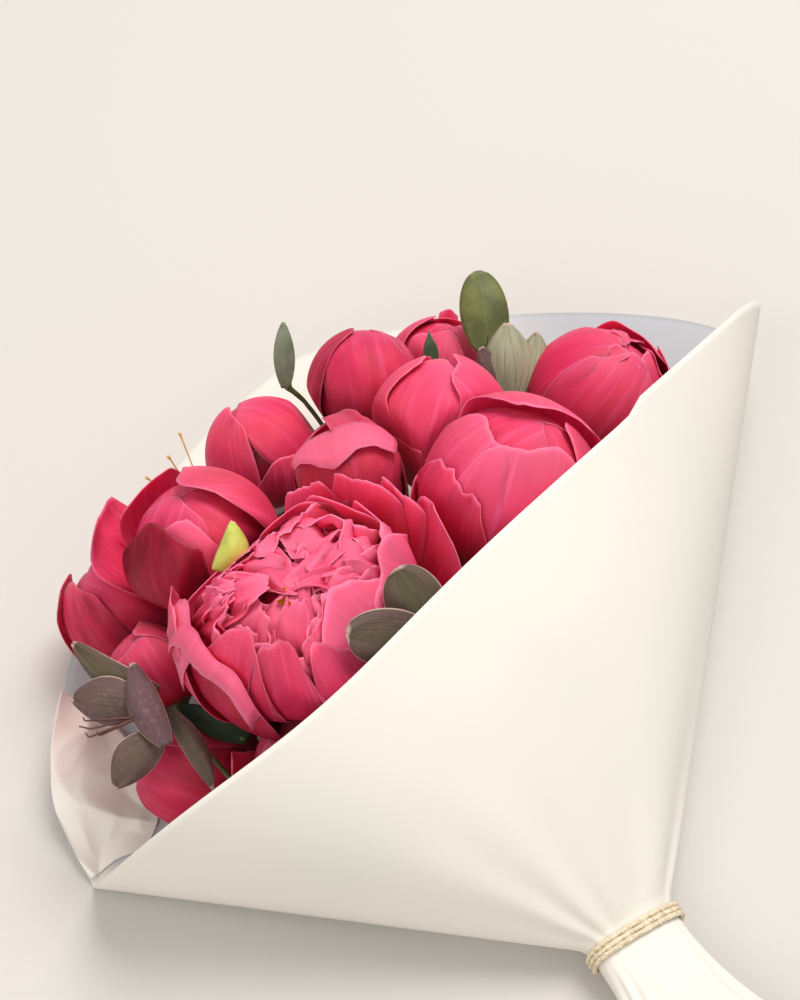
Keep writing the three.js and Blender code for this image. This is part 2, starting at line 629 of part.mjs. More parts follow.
function makeWrap() {
  const rows = [-1, -0.4, 0, neckShare, 0.12, 0.24, 0.45, 0.7, 1];
  const around = 20;
  const outer = [];
  const inner = [];
  const step = 1e-3;
  for (const v of rows)
    for (let i = 0; i < around; i++) {
      const turn = (2 * Math.PI * (i + 0.5)) / around;
      const p = sleevePoint(turn, v);
      const dTurn = sleevePoint(turn + step, v).sub(sleevePoint(turn - step, v));
      const lower = Math.max(v - step, -1);
      const dAlong = sleevePoint(turn, Math.min(v + step, 1)).sub(sleevePoint(turn, lower));
      const normal = dTurn.cross(dAlong).normalize();
      outer.push(p.clone().addScaledVector(normal, paperThick / 2));
      inner.push(p.clone().addScaledVector(normal, -paperThick / 2));
    }
  const count = rows.length * around;
  const index = [];
  const quad = (a, b, c, d) => index.push(a, b, c, a, c, d);
  for (let j = 0; j < rows.length - 1; j++)
    for (let i = 0; i < around; i++) {
      const a = j * around + i;
      const b = j * around + ((i + 1) % around);
      quad(a, b, b + around, a + around);
      index.push(count + a, count + b + around, count + b, count + a, count + a + around, count + b + around);
    }
  for (let i = 0; i < around; i++) {
    const next = (i + 1) % around;
    const last = (rows.length - 1) * around;
    quad(i, count + i, count + next, next);
    quad(last + i, last + next, count + last + next, count + last + i);
  }
  return solidFrom([...outer, ...inner].flatMap((p) => p.toArray()), index);
}

// The tissue between the blooms and the left corner of the paper: a collar that rises outwards.
function makeTissue() {
  const low = new THREE.QuadraticBezierCurve3(v3(-144, -60, 4.3), v3(-170, -30, 3.4), v3(-166, 12, 3.4));
  const high = new THREE.QuadraticBezierCurve3(v3(-174, -40, 8), v3(-212, -10, 38), v3(-178, 34, 38));
  return blade((u, v) => {
    const along = (u + 1) / 2;
    const p = low.getPoint(along).lerp(high.getPoint(along), v);
    p.z += 2.4 * Math.sin(9 * along + 2 * v) * v;
    return p;
  }, 7, 3, paperThick);
}

// Three turns of twine side by side, as one ribbed band.
function makeTie() {
  const out = paperThick / 2 + gap + 0.2;
  // Their section, across the band and outwards, in twine radii.
  const ribs = [[-3, 0], [3, 0], [3, 1.3], [2, 2], [1, 1.3], [0, 2], [-1, 1.3], [-2, 2], [-3, 1.3]];
  const around = 16;
  const positions = [];
  const index = [];
  for (let k = 0; k < around; k++) {
    const turn = (2 * Math.PI * k) / around;
    const c = Math.sign(Math.cos(turn)) * Math.abs(Math.cos(turn)) ** neckPower;
    const s = Math.sign(Math.sin(turn)) * Math.abs(Math.sin(turn)) ** neckPower;
    for (const [across, proud] of ribs) {
      const off = out + proud * twineRadius;
      positions.push(tieAt.x + c * (neck.halfWide + off), tieAt.y + across * twineRadius,
        tieAt.z + s * (neck.halfTall + off));
    }
    const n = ribs.length;
    for (let i = 0; i < n; i++) {
      const a = k * n + i;
      const b = k * n + ((i + 1) % n);
      const c2 = ((k + 1) % around) * n;
      index.push(a, c2 + ((i + 1) % n), b, a, c2 + i, c2 + ((i + 1) % n));
    }
  }
  return solidFrom(positions, index);
}

// ---------------------------------------------------------------- assembly
const bunch = new THREE.Group();
const finish = {
  petal: new THREE.MeshStandardMaterial({ color: 0xd63a62, roughness: 0.5, metalness: 0 }),
  green: new THREE.MeshStandardMaterial({ color: 0x4c5f33, roughness: 0.6, metalness: 0 }),
  lime: new THREE.MeshStandardMaterial({ color: 0xa9b052, roughness: 0.55, metalness: 0 }),
  sepal: new THREE.MeshStandardMaterial({ color: 0x7d686a, roughness: 0.6, metalness: 0 }),
  gold: new THREE.MeshStandardMaterial({ color: 0xd9c48a, roughness: 0.5, metalness: 0 }),
  paper: new THREE.MeshStandardMaterial({ color: 0xf1ece2, roughness: 0.85, metalness: 0 }),
  twine: new THREE.MeshStandardMaterial({ color: 0xc8b48c, roughness: 0.9, metalness: 0 }),
};

function add(name, solid, material) {
  const mesh = new THREE.Mesh(geometryOf(solid), material);
  mesh.name = name;
  bunch.add(mesh);
}

for (const name of Object.keys(blooms)) add("bloom_" + name, makeBloom(name), finish.petal);

for (const stem of layStems()) {
  const { name } = stem;
  const course = rod(courseOf(stem), stem.radius, stem.radius > 2 ? 6 : 4);
  if (blooms[name]) {
    add("stem_" + name, largestBody(wasm.Manifold.union([course, ...calyx(name)])), finish.green);
  } else if (name === "sprigs") {
    add("sprigs", makeSprigs(course), finish.gold);
  } else {
    const grown = { hellebore_top: "leaf_top", hellebore_left: "leaf_dark" }[name] ?? name;
    const parts = [course];
    if (leaves[grown]) {
      const leaf = leaves[grown];
      parts.push(leafBlade(leaf, 2, 4));
      const joint = courseOf(stem)[1];
      if (grown !== name) parts.push(rod([joint, leafPoint(leaf, 0, 0.2)], petioleRadius, 4));
    }
    add("stem_" + name, largestBody(wasm.Manifold.union(parts)), finish.green);
  }
}

for (const name of Object.keys(hellebores)) {
  add(name, makeHellebore(name), finish.sepal);
  if (hellebores[name].styles) add(name + "_styles", makeStyles(name), finish.green);
}
add("curled_sepal", leafBlade(curledSepal, 4, 3), finish.lime);
add("wrap", makeWrap(), finish.paper);
add("tissue", makeTissue(), finish.paper);
add("tie", makeTie(), finish.twine);

export default bunch;
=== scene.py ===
import math

import bmesh
import bpy
from mathutils import Matrix, Vector, noise


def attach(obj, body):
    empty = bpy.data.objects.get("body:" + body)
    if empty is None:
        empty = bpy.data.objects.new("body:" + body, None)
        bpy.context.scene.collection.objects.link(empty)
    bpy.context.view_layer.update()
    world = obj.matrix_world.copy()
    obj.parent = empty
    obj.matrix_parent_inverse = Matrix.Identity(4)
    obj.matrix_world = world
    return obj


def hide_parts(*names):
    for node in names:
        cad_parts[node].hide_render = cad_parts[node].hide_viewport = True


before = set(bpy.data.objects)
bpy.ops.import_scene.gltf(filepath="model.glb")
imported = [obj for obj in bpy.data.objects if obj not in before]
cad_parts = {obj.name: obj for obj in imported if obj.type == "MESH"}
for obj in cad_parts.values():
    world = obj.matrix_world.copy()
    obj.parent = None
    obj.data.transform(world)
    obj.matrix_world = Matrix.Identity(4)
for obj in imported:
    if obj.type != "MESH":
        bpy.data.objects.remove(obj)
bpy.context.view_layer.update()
print("frame loaded")

# Lengths in the tables are millimetres, as in the part, and angles are degrees.
mm = 0.001
rad = math.radians
frontSide = Vector((-0.287, -0.497, 0.819))  # the side of the blooms that faces up and to the front


def mix(a, b, t):
    return a + (b - a) * t


def ease(x, low, high):  # 0 below low, 1 above high, smooth between
    t = min(1, max(0, (x - low) / (high - low)))
    return t * t * (3 - 2 * t)


def wobble(seed):  # a repeatable number between -1 and 1
    s = math.sin(seed * 127.1 + 311.7) * 43758.5453
    return 2 * (s - math.floor(s)) - 1


class Wire:  # a socket that takes part in sums
    def __init__(self, maker, socket):
        self.maker = maker
        self.socket = socket

    def work(self, operation, *values):
        sockets = dict(enumerate(values))
        return self.maker.add("ShaderNodeMath", {"operation": operation}, sockets)["Value"]

    def __add__(self, other):
        return self.work("ADD", self, other)

    def __sub__(self, other):
        return self.work("SUBTRACT", self, other)

    def __rsub__(self, other):
        return self.work("SUBTRACT", other, self)

    def __mul__(self, other):
        return self.work("MULTIPLY", self, other)

    def __abs__(self):
        return self.work("ABSOLUTE", self)

    __radd__ = __add__
    __rmul__ = __mul__

    def least(self, other):
        return self.work("MINIMUM", self, other)

    def sine(self):
        return self.work("SINE", self)

    def between(self, low, high):  # the same as ease
        settings = {"interpolation_type": "SMOOTHSTEP"}
        return self.maker.add("ShaderNodeMapRange", settings, {"Value": self, 1: low, 2: high})["Result"]


class Node:
    def __init__(self, maker, node):
        self.maker = maker
        self.node = node

    def __getitem__(self, name):
        return Wire(self.maker, self.node.outputs[name])


class Finish:  # a material and the one way to add nodes to it
    def __init__(self, name):
        self.material = bpy.data.materials.new(name)
        self.material.use_nodes = True
        self.tree = self.material.node_tree
        self.tree.nodes.clear()

    def add(self, kind, settings=None, sockets=None):
        node = self.tree.nodes.new(kind)
        for name, value in (settings or {}).items():
            setattr(node, name, value)
        for name, value in (sockets or {}).items():
            if isinstance(value, Wire):
                self.tree.links.new(value.socket, node.inputs[name])
            else:
                node.inputs[name].default_value = value
        return Node(self, node)

    def place(self):  # in metres
        return self.add("ShaderNodeTexCoord")["Object"]

    def tone(self):
        return self.add("ShaderNodeAttribute", {"attribute_name": "tone"})["Fac"]

    def split(self, vector):
        return self.add("ShaderNodeSeparateXYZ", None, {"Vector": vector})

    def join(self, x, y, z):
        return self.add("ShaderNodeCombineXYZ", None, {"X": x, "Y": y, "Z": z})["Vector"]

    def blade(self):  # across a petal, from -1 to 1, and along it, from 0 at its foot to 1 at its tip
        spot = self.split(self.add("ShaderNodeUVMap", {"uv_map": "petal"})["UV"])
        return spot["X"] * 2 - 1, spot["Y"]

    def blend(self, share, first, second):
        return self.add("ShaderNodeMix", {"data_type": "RGBA"}, {0: share, 6: first, 7: second})[2]

    def cloud(self, vector, scale, detail=3.0, roughness=0.55):
        sockets = {"Vector": vector, "Scale": scale, "Detail": detail, "Roughness": roughness}
        return self.add("ShaderNodeTexNoise", None, sockets)["Fac"]

    def veins(self, spot, often, detail, roughness=0.55):  # a cloud drawn out along a petal
        stretched = [part * times for part, times in zip(spot, often)]
        return self.cloud(self.join(*stretched), 1, detail, roughness)

    def surface(self, sockets, height=None, depth=0.0003, strength=0.4):
        if height is not None:
            bump = {"Height": height, "Distance": depth, "Strength": strength}
            sockets["Normal"] = self.add("ShaderNodeBump", None, bump)["Normal"]
        skin = self.add("ShaderNodeBsdfPrincipled", None, sockets)
        self.add("ShaderNodeOutputMaterial", None, {"Surface": skin["BSDF"]})
        return self.material


def rgb(red, green, blue):  # a colour as read from a picture, 0 to 255
    def linear(part):
        part /= 255
        return part / 12.92 if part <= 0.04045 else ((part + 0.055) / 1.055) ** 2.4
    return (linear(red), linear(green), linear(blue), 1)


def inFrom(across, along, tipShare):  # how far in from the edge of a petal: 0 there, 1 on its middle line
    return (1 - abs(across)).least((1 - along) * tipShare)


# How often veins come across, along and from tone to tone, and how strongly each thing shows.
petalLook = {
    "root": rgb(112, 4, 26), "body": rgb(234, 26, 82), "coral": rgb(240, 48, 76), "bright": rgb(255, 88, 138),
    "rim": rgb(250, 150, 182), "pale": rgb(252, 118, 152), "shade": rgb(88, 0, 18),
    "streaks": (8, 1.1, 30), "hairs": (42, 2.2, 50), "patches": (1.6, 1.8, 9), "mottle": 34,
    "streakShare": 0.77, "hairShare": 0.165, "glowShare": 0.2, "toneShare": 0.32, "rimShare": 0.4,
    "darkShare": 0.44, "patchShare": 0.95, "rimWide": 0.03, "glowWide": 0.4, "tipShare": 1.1,
}


def petalFinish(name, shade, paintedLight):
    look = Finish(name)
    values = petalLook
    across, along = look.blade()
    tone = look.tone()
    spot = (across, along, tone)
    streaks = look.veins(spot, values["streaks"], 4)
    hairs = look.veins(spot, values["hairs"], 2)
    patch = look.veins(spot, values["patches"], 3)
    mottle = look.cloud(look.place(), values["mottle"], 2)
    depth = inFrom(across, along, values["tipShare"])
    rim = 1 - depth.between(0, values["rimWide"])
    glow = 1 - depth.between(0, values["glowWide"])
    body = look.blend(mottle.between(0.35, 0.7), values["body"], values["coral"])
    colour = look.blend(along.between(0.05, 0.6), values["root"], body)
    streaked = streaks.between(0.48, 0.72) * values["streakShare"]
    streaked += hairs.between(0.5, 0.8) * values["hairShare"]
    colour = look.blend(streaked * along, colour, values["bright"])
    # Paler towards the edges and with tone. A high tone is partly the pale back of a folded tip and partly
    # painted light on the open bloom's inner petals, and the last share, which only the open bloom has, is
    # painted light.
    paler = glow * values["glowShare"] + tone * values["toneShare"] + paintedLight
    colour = look.blend(paler * along, colour, values["pale"])
    colour = look.blend(rim * values["rimShare"], colour, values["rim"])
    # Painted shade: each bloom's shade value and each petal's low tone blend in the shade colour where the
    # blooms lay in shade, over random darker patches.
    darker = (1 - tone) * values["darkShare"] + shade + (0.5 - patch) * values["patchShare"]
    colour = look.blend(darker.between(0, 1), colour, values["shade"])
    sockets = {
        "Base Color": colour, "Roughness": 0.48 + mottle * 0.14, "Subsurface Weight": 0.4,
        "Subsurface Radius": (0.005, 0.0014, 0.002), "Subsurface Scale": 1.0, "Specular IOR Level": 0.2,
    }
    return look.surface(sockets, streaks * 0.6 + hairs * 0.4, depth=0.0006, strength=0.35)


sepalLook = {
    "green": rgb(86, 82, 54), "mauve": rgb(106, 78, 82), "ribbed": rgb(158, 158, 132),
    "dark": rgb(66, 50, 46), "rim": rgb(214, 184, 172), "speckle": rgb(166, 132, 132),
    "veins": (16, 1.6, 20), "speckles": 420, "veinShare": 0.6, "speckleShare": 0.25, "rimShare": 0.8,
    "tipShare": 1.2,
}


def sepalFinish():  # the tone runs from mauve (0) by green (1) to pale ribbed green (1.5)
    look = Finish("sepalSkin")
    values = sepalLook
    across, along = look.blade()
    tone = look.tone()
    veins = look.veins((across, along, tone), values["veins"], 5, 0.65)
    speckle = look.cloud(look.place(), values["speckles"], 4)
    rim = 1 - inFrom(across, along, values["tipShare"]).between(0.01, 0.06)
    greenness = tone.between(0, 0.9) * (0.4 + (1 - abs(across)) * 0.6)
    colour = look.blend(greenness, values["mauve"], values["green"])
    colour = look.blend(tone.between(1, 1.4), colour, values["ribbed"])
    colour = look.blend(veins.between(0.45, 0.68) * values["veinShare"], colour, values["dark"])
    speckled = speckle.between(0.5, 0.7) * (1 - tone).between(0, 1)
    colour = look.blend(speckled * values["speckleShare"], colour, values["speckle"])
    colour = look.blend(rim * values["rimShare"], colour, values["rim"])
    sockets = {"Base Color": colour, "Roughness": 0.55 + speckle * 0.2, "Specular IOR Level": 0.3}
    return look.surface(sockets, veins * 0.8 + speckle * 0.2, depth=0.0006, strength=0.6)


leafLook = {
    "mottle": 60, "ribs": 9, "ribSlant": 2.2, "ribWaver": 0.3, "tipShare": 1.2,
    "ribShare": 0.12, "midribShare": 0.3, "rimShare": 0.5,
}


def leafFinish(name, dark, light, rimColour):
    look = Finish(name)
    values = leafLook
    across, along = look.blade()
    side = abs(across)
    mottle = look.cloud(look.place(), values["mottle"], 3)
    wave = (along * values["ribs"] - side * values["ribSlant"] + mottle * values["ribWaver"]) * math.tau
    ribs = wave.sine().between(0.75, 1.0)
    midrib = 1 - side.between(0.02, 0.08)
    rim = 1 - inFrom(across, along, values["tipShare"]).between(0.02, 0.08)
    colour = look.blend(mottle.between(0.3, 0.75), dark, light)
    colour = look.blend(ribs * values["ribShare"] + midrib * values["midribShare"], colour, light)
    colour = look.blend(rim * values["rimShare"], colour, rimColour)
    sockets = {"Base Color": colour, "Roughness": 0.5 + mottle * 0.1, "Specular IOR Level": 0.35}
    return look.surface(sockets, ribs * 0.3 + midrib, depth=0.0003, strength=0.4)


def stemFinish():
    look = Finish("stemGreen")
    mottle = look.cloud(look.place(), 120, 3)
    colour = look.blend(mottle.between(0.3, 0.7), rgb(58, 74, 34), rgb(104, 120, 62))
    return look.surface({"Base Color": colour, "Roughness": 0.55}, mottle, depth=0.0003, strength=0.3)


paperLook = {
    "white": rgb(231, 226, 217), "grey": rgb(225, 221, 213), "farSheet": rgb(182, 183, 188),
    "tissue": rgb(236, 233, 224), "blush": rgb(222, 204, 198),
    "clouds": 7, "grain": 900, "creases": 38,
}


def paperSurface(look, colour):
    place = look.place()
    grain = look.cloud(place, paperLook["grain"], 3)
    crease = look.cloud(place, paperLook["creases"], 5, 0.7)
    sockets = {"Base Color": colour, "Roughness": 0.8 + grain * 0.1, "Specular IOR Level": 0.2}
    return look.surface(sockets, grain * 0.25 + crease * 0.75, depth=0.0006, strength=0.25)


def wrapFinish():
    look = Finish("wrapPaper")
    place = look.place()
    cloudy = look.cloud(place, paperLook["clouds"], 2).between(0.3, 0.7)
    colour = look.blend(cloudy, paperLook["white"], paperLook["grey"])
    across, along = look.blade()
    # Painted shade: the far sheet turns grey towards its left and right sides, where it lies in shade behind
    # the blooms.
    sides = abs(look.split(place)["X"] - 0.03).between(0.07, 0.16)
    farSheet = across.between(0, 0.04) * along.between(0.3, 0.6) * sides
    return paperSurface(look, look.blend(farSheet, colour, paperLook["farSheet"]))


def tissueFinish():
    look = Finish("tissuePaper")
    place = look.place()
    cloudy = look.cloud(place, paperLook["clouds"], 2).between(0.3, 0.7)
    # Pinkish grey towards the back, near the blooms, and whiter towards the front.
    nearFront = (cloudy * 0.01 - look.split(place)["Y"]).between(-0.012, 0.02)
    return paperSurface(look, look.blend(nearFront, paperLook["blush"], paperLook["tissue"]))


def twineFinish():
    look = Finish("twineFibre")
    fibre = look.cloud(look.place(), 700, 4)
    colour = look.blend(fibre.between(0.3, 0.7), rgb(196, 178, 144), rgb(232, 220, 196))
    return look.surface({"Base Color": colour, "Roughness": 0.9}, fibre, depth=0.0005, strength=0.7)


def plainFinish(name, colour, roughness):
    return Finish(name).surface({"Base Color": colour, "Roughness": roughness})


print("materials ready")


def newObject(name, bm, material):
    mesh = bpy.data.meshes.new(name)
    bm.to_mesh(mesh)
    bm.free()
    mesh.materials.append(material)
    item = bpy.data.objects.new(name, mesh)
    bpy.context.scene.collection.objects.link(item)
    return item


def newPiece(name, bm, material, nodes=()):
    piece = newObject(name, bm, material)
    piece.data.shade_smooth()
    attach(piece, "root")
    if nodes:
        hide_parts(*nodes)
    return piece


def startBlades():
    bm = bmesh.new()
    bm.loops.layers.uv.new("petal")
    bm.verts.layers.float.new("tone")
    return bm


def addBlade(bm, placeAt, across, along, tone, outFrom=None):  # a sheet: u from -1 to 1, v from 0 to 1
    made = bmesh.ops.create_grid(bm, x_segments=across, y_segments=along, size=1, calc_uvs=True)
    toneLayer = bm.verts.layers.float["tone"]
    for vert in made["verts"]:
        u, v = vert.co.x, (vert.co.y + 1) / 2
        vert.co = placeAt(u, v) * mm
        vert[toneLayer] = tone(v) if callable(tone) else tone
    if outFrom is None:
        return
    faces = {face for vert in made["verts"] for face in vert.link_faces}
    for face in faces:
        face.normal_update()
    if sum(face.normal.dot(face.calc_center_median() - outFrom * mm) for face in faces) < 0:
        bmesh.ops.reverse_faces(bm, faces=list(faces))


def addTube(bm, pathAt, radiusAt, around, along):  # a thin tube along a path, open at its ends
    made = bmesh.ops.create_grid(bm, x_segments=around, y_segments=along, size=1)
    for vert in made["verts"]:
        turn, t = math.pi * vert.co.x, (vert.co.y + 1) / 2
        ahead = (pathAt(t + 0.01) - pathAt(t - 0.01)).normalized()
        aside = ahead.cross(frontSide).normalized()
        spoke = aside * math.cos(turn) + aside.cross(ahead) * math.sin(turn)
        vert.co = (pathAt(t) + spoke * radiusAt(t, turn)) * mm
    bmesh.ops.remove_doubles(bm, verts=made["verts"], dist=1e-6)


def curveAt(points, t):  # a curve with one bend between its ends
    a, b, c = (Vector(p) for p in points)
    return a.lerp(b, t).lerp(b.lerp(c, t), t)


def thicken(piece, thick, offset=0):
    solid = piece.modifiers.new("thickness", "SOLIDIFY")
    solid.thickness = thick * mm
    solid.offset = offset
    solid.use_even_offset = False


# Blooms: the centre, the radius of the closed ball, the way it faces (turn from +Y, rise), and its petals as
# [turn, tip, halfWide, standOff, lean, curl, size, tone] and, for a few, what is special about them.
# The open bloom's rings, from the outside in, are [count, size, tip, halfWide, ruffle].
# Each bloom's shade value is painted shade for blooms that lay in shade, and a low petal tone paints shade on
# one petal, as on the half-open bloom's darkest petal.
blooms = {
    "rear_left": {
        "at": (36, 98, 64), "radius": 29.4, "faces": (30, 50), "shade": 0.14,
        "petals": [[-92, 12, 50, 0.05, 0, 0.01, 1.01, 0.05], [112, 10, 50, 0.02, 0, 0.01, 0.985, 0.5],
                   [14, -6, 62, 0.01, 0, 0, 1, 0.5]],
    },
    "rear_right": {
        "at": (86, 106, 34), "radius": 29.8, "faces": (40, 42), "shade": 0.0,
        "petals": [[-104, 12, 56, 0.03, 0, 0.02, 1.03, 0.6], [175, 2, 50, 0.02, 0, 0.02, 1.01, 0.7],
                   [56, 24, 46, 0.04, 0, 0.02, 1, 0.6], [-10, 40, 40, 0.02, 0, 0.03, 1.03, 0.7],
                   [178, 4, 11, 0.08, 1, 0.08, 1.04, 1.4]],
    },
    "left_rear": {
        "at": (-21, 101, 40), "radius": 30.6, "faces": (-2, 42), "shade": -0.1,
        "petals": [[60, -6, 66, 0, 0, 0, 1, 0.5], [-56, 20, 52, 0.02, 0, 0.01, 1.03, 0.35],
                   [24, 90, 44, 0.06, 0, 0.02, 1.03, 0.3]],
    },
    "middle": {
        "at": (45, 38, 90), "radius": 33.4, "faces": (22, 52), "shade": -0.12,
        "petals": [[-112, 6, 56, 0.04, 1, 0.03, 1.03, 0.6], [-38, -6, 62, 0.01, 0, 0, 1.01, 0.9],
                   [-50, 95, 50, 0.15, 0, 0.03, 1.05, 0.1], [74, 14, 56, 0.05, 0, 0.02, 1.03, 0.6]],
    },
    "middle_left": {
        "at": (-5, 34, 90), "radius": 28, "faces": (6, 52), "shade": 0.24,
        "petals": [[95, 6, 44, 0.05, 0, 0.03, 1, 0.5], [-130, 6, 46, 0.05, 1, 0.02, 1, 0.4],
                   [20, -18, 20, 0.1, 0, 0.06, 0.99, 0.6],
                   [-6, -16, 66, 0.04, 0, 0.02, 1.03, 0.5, {"fold": 0.17, "drop": 0.02, "hang": 0.3}]],
    },
    "right": {
        "at": (139, 39, 54), "radius": 36, "faces": (100, 52), "shade": -0.1,
        "petals": [[-104, 12, 48, 0.02, 0, 0.01, 1, 0.4],
                   [-62, 24, 42, 0.02, 0, 0.01, 1.02, 0.35, {"jag": 0.06}],
                   [178, 8, 46, 0.06, 1, 0.02, 1.04, 0.05], [125, 16, 44, 0.07, 2, 0.03, 1.04, 0.6],
                   [12, 16, 54, 0.01, 0, 0, 1.04, 0.5, {"jag": 0.03}]],
        "tuft": 5,
    },
    "cupped": {
        "at": (49, -17, 104), "radius": 41.5, "faces": (70, 62), "shade": 0.0,
        "petals": [[-172, -2, 64, 0.06, 0, 0.02, 1.04, 0.6], [100, 20, 50, 0.02, 0, 0.01, 0.99, 0.7],
                   [-50, 34, 52, 0.01, 0, 0.01, 1, 0.8], [14, 27, 58, 0.02, 0, 0.01, 1.02, 1],
                   [-76, 100, 50, 0.15, 0, 0.03, 1.05, 0],
                   [-40, 70, 40, 0.03, 0, 0.02, 1.045, 0.35, {"jag": 0.045}]],
    },
    "half_open": {
        "at": (-83, 37, 85), "radius": 34, "faces": (-24, 66), "shade": 0.05,
        "petals": [[-22, 28, 50, 0.03, 0, 0, 1, 0.9], [110, 8, 54, 0.06, 1, 0.02, 1.05, 0.7],
                   [-150, 30, 42, 0.07, 2, 0.05, 1.03, 0.4], [-112, 38, 42, 0.2, 10, 0.1, 1.06, 0.35],
                   [-38, 33, 46, 0, 0, 0, 1.15, -0.5, {"broad": 0.2}]],
    },
    "left": {
        "at": (-121, 52, 37), "radius": 30.5, "faces": (-30, 36), "shade": 0.08,
        "petals": [[30, 12, 58, 0.02, 0, 0, 1, 0.5], [-50, 20, 50, 0.03, 0, 0.02, 1.03, 0.3],
                   [-110, 14, 44, 0.08, 3, 0.03, 1.03, 0.2]],
    },
    "left_small": {
        "at": (-127, 5, 54), "radius": 23.8, "faces": (-24, 62), "shade": 0.08,
        "petals": [[6, 10, 56, 0.04, 0, 0.02, 1, 0.5], [110, 8, 46, 0.05, 0, 0.02, 1.02, 0.4]],
    },
    "left_front": {
        "at": (-128, -37, 35), "radius": 30, "faces": (-62, 28), "shade": 0.15,
        "petals": [[-10, 10, 54, 0.04, 0, 0.02, 1, 0.4], [76, 14, 52, 0.05, 0, 0.03, 1.03, 0.6]],
    },
    "front": {
        "at": (-89, -74, 62), "radius": 26, "faces": (-56, 44), "shade": 0.1,
        "petals": [[-20, 12, 50, 0.1, 0, 0.03, 1, 0.6], [-110, 6, 52, 0.24, 12, 0.06, 1.03, 0.7],
                   [60, 18, 40, 0.02, 0, 0.01, 1.06, 1.1, {"free": 1, "jag": 0.01}]],
    },
    # The open bloom's extra pale share and the high tone of its inner petals are painted light, paling its
    # hollow as light through thin petals would.
    "open": {
        "at": (-67, -31, 104), "radius": 47, "faces": (-20, 84), "shade": 0.0, "paintedLight": 0.14,
        "petals": [[-158, 66, 36, 0.05, 2, 0.03, 1, 0.5], [-120, 62, 34, 0.05, 2, 0.03, 1, 0.45],
                   [180, 56, 40, 0.06, 0, 0.05, 1, 0.7], [150, 54, 34, 0.08, 0, 0.05, 1.02, 0.9],
                   [168, 68, 20, 0.2, 0, 0, 1.1, 0.7, {"jag": 0.1, "free": 1}],
                   [145, 62, 24, 0.3, 0, 0, 1.1, 0.6, {"jag": 0.04, "free": 1}],
                   [133, 66, 18, 0.38, 0, 0, 1.1, 0.5, {"jag": 0.04, "free": 1}],
                   [108, 64, 24, 0.46, 0, 0, 1.12, 0.4, {"free": 1, "broad": 0.3}],
                   [118, 50, 42, 0.1, 2, 0.04, 1.03, 1.2], [86, 44, 40, 0.1, 3, 0.05, 1.05, 0.8],
                   [52, 34, 46, 0.04, 1, 0.03, 1.02, 1.1],
                   [24, 49, 27, 0.03, 0, 0.02, 1.04, 0.1, {"drop": 0.26}],
                   [-9, 41, 26, 0.04, 0, 0.02, 1.06, 0.05, {"drop": 0.26}],
                   [-38, 42, 31, 0.04, 0, 0.02, 1.08, 0.1, {"drop": 0.26}],
                   [-78, 32, 20, 0.03, 0, 0.02, 1.12, 0.5, {"fold": 0.2, "jag": 0.02, "free": 1}],
                   [-50, 47, 37, 0.02, 0, 0.02, 1.14, -0.2,
                    {"fold": 0.14, "slant": 0.1, "jag": 0.01, "free": 1, "taper": 0.6}],
                   [-84, 64, 32, 0.02, 0, 0, 1.22, 0.4, {"free": 1, "jag": 0.005}]],
        "flatSides": [((0, 0, 1), 148.4), ((0.26, -0.566, 0.782), 121.5), ((-0.273, 0.861, 0.43), 84)],
        "rings": [[8, 0.94, 42, 32, 0.05], [8, 0.9, 32, 28, 0.07], [7, 0.86, 23, 25, 0.08],
                  [6, 0.82, 13, 23, 0.09], [5, 0.78, 4, 22, 0.1], [3, 0.75, -12, 22, 0.1]],
        "frills": 10,
    },
}
petalForm = {
    "thick": 0.4, "sineFrom": 0.1, "sineOver": 0.62, "waist": 0.08, "cornerRound": 0.05, "cornerCurl": 0.6,
    "waistWaves": 3, "rootDraw": 0.13, "rootOver": 0.22, "rootAt": -0.97, "sizeRise": 0.2,
    "tipWave": 0.03, "tipWaves": 5, "jags": 5, "fineJags": 14, "fineJagShare": 0.3, "ruffles": 4.2,
    "frills": 17, "crumples": (2.6, 3.4), "dents": (2.4, 5.5), "dentFrom": 0.4,
    "foldBack": 1.9, "foldOut": 0.5, "foldOutMost": 0.08, "foldLift": 25, "foldLiftMost": 1, "foldLine": 0.02,
}
# What a petal has unless its bloom says otherwise, and what four kinds of inner petal have in common.
plainPetal = {
    "turn": 0, "from": 155, "tip": 10, "halfWide": 50, "standOff": 0.05, "lean": 0, "curl": 0, "size": 1,
    "tone": 0.5, "ruffle": 0.01, "seed": 0, "jag": 0.015, "slant": 0, "fold": 0, "frill": 0, "crumple": 0.01,
    "broad": 0.06, "free": 0, "fine": 22, "drop": 0.11, "taper": 0, "hang": 0, "dent": 0,
}
coverPetal = {"turn": 40, "from": 95, "tip": 2, "standOff": 0.01, "size": 0.93, "ruffle": 0}
tuftPetal = {
    "from": 60, "tip": 9, "halfWide": 26, "standOff": 0.03, "curl": 0.05, "size": 0.97, "ruffle": 0.04,
    "jag": 0.05, "tone": 1.1, "fine": 16,
}
# The ring and frill petals' high tone is painted light, paling them as light through thin petals would.
ringPetal = {
    "from": 105, "standOff": 0.07, "curl": 0.06, "jag": 0.05, "frill": 0.012, "tone": 1.1, "crumple": 0.13,
    "dent": 7,
}
frillPetal = {
    "turn": -105, "from": 75, "tip": 30, "halfWide": 13, "standOff": 0.05, "curl": 0.06, "size": 0.9,
    "jag": 0.1, "frill": 0.02, "ruffle": 0.08, "tone": 1.4, "crumple": 0.15, "fine": 14,
}
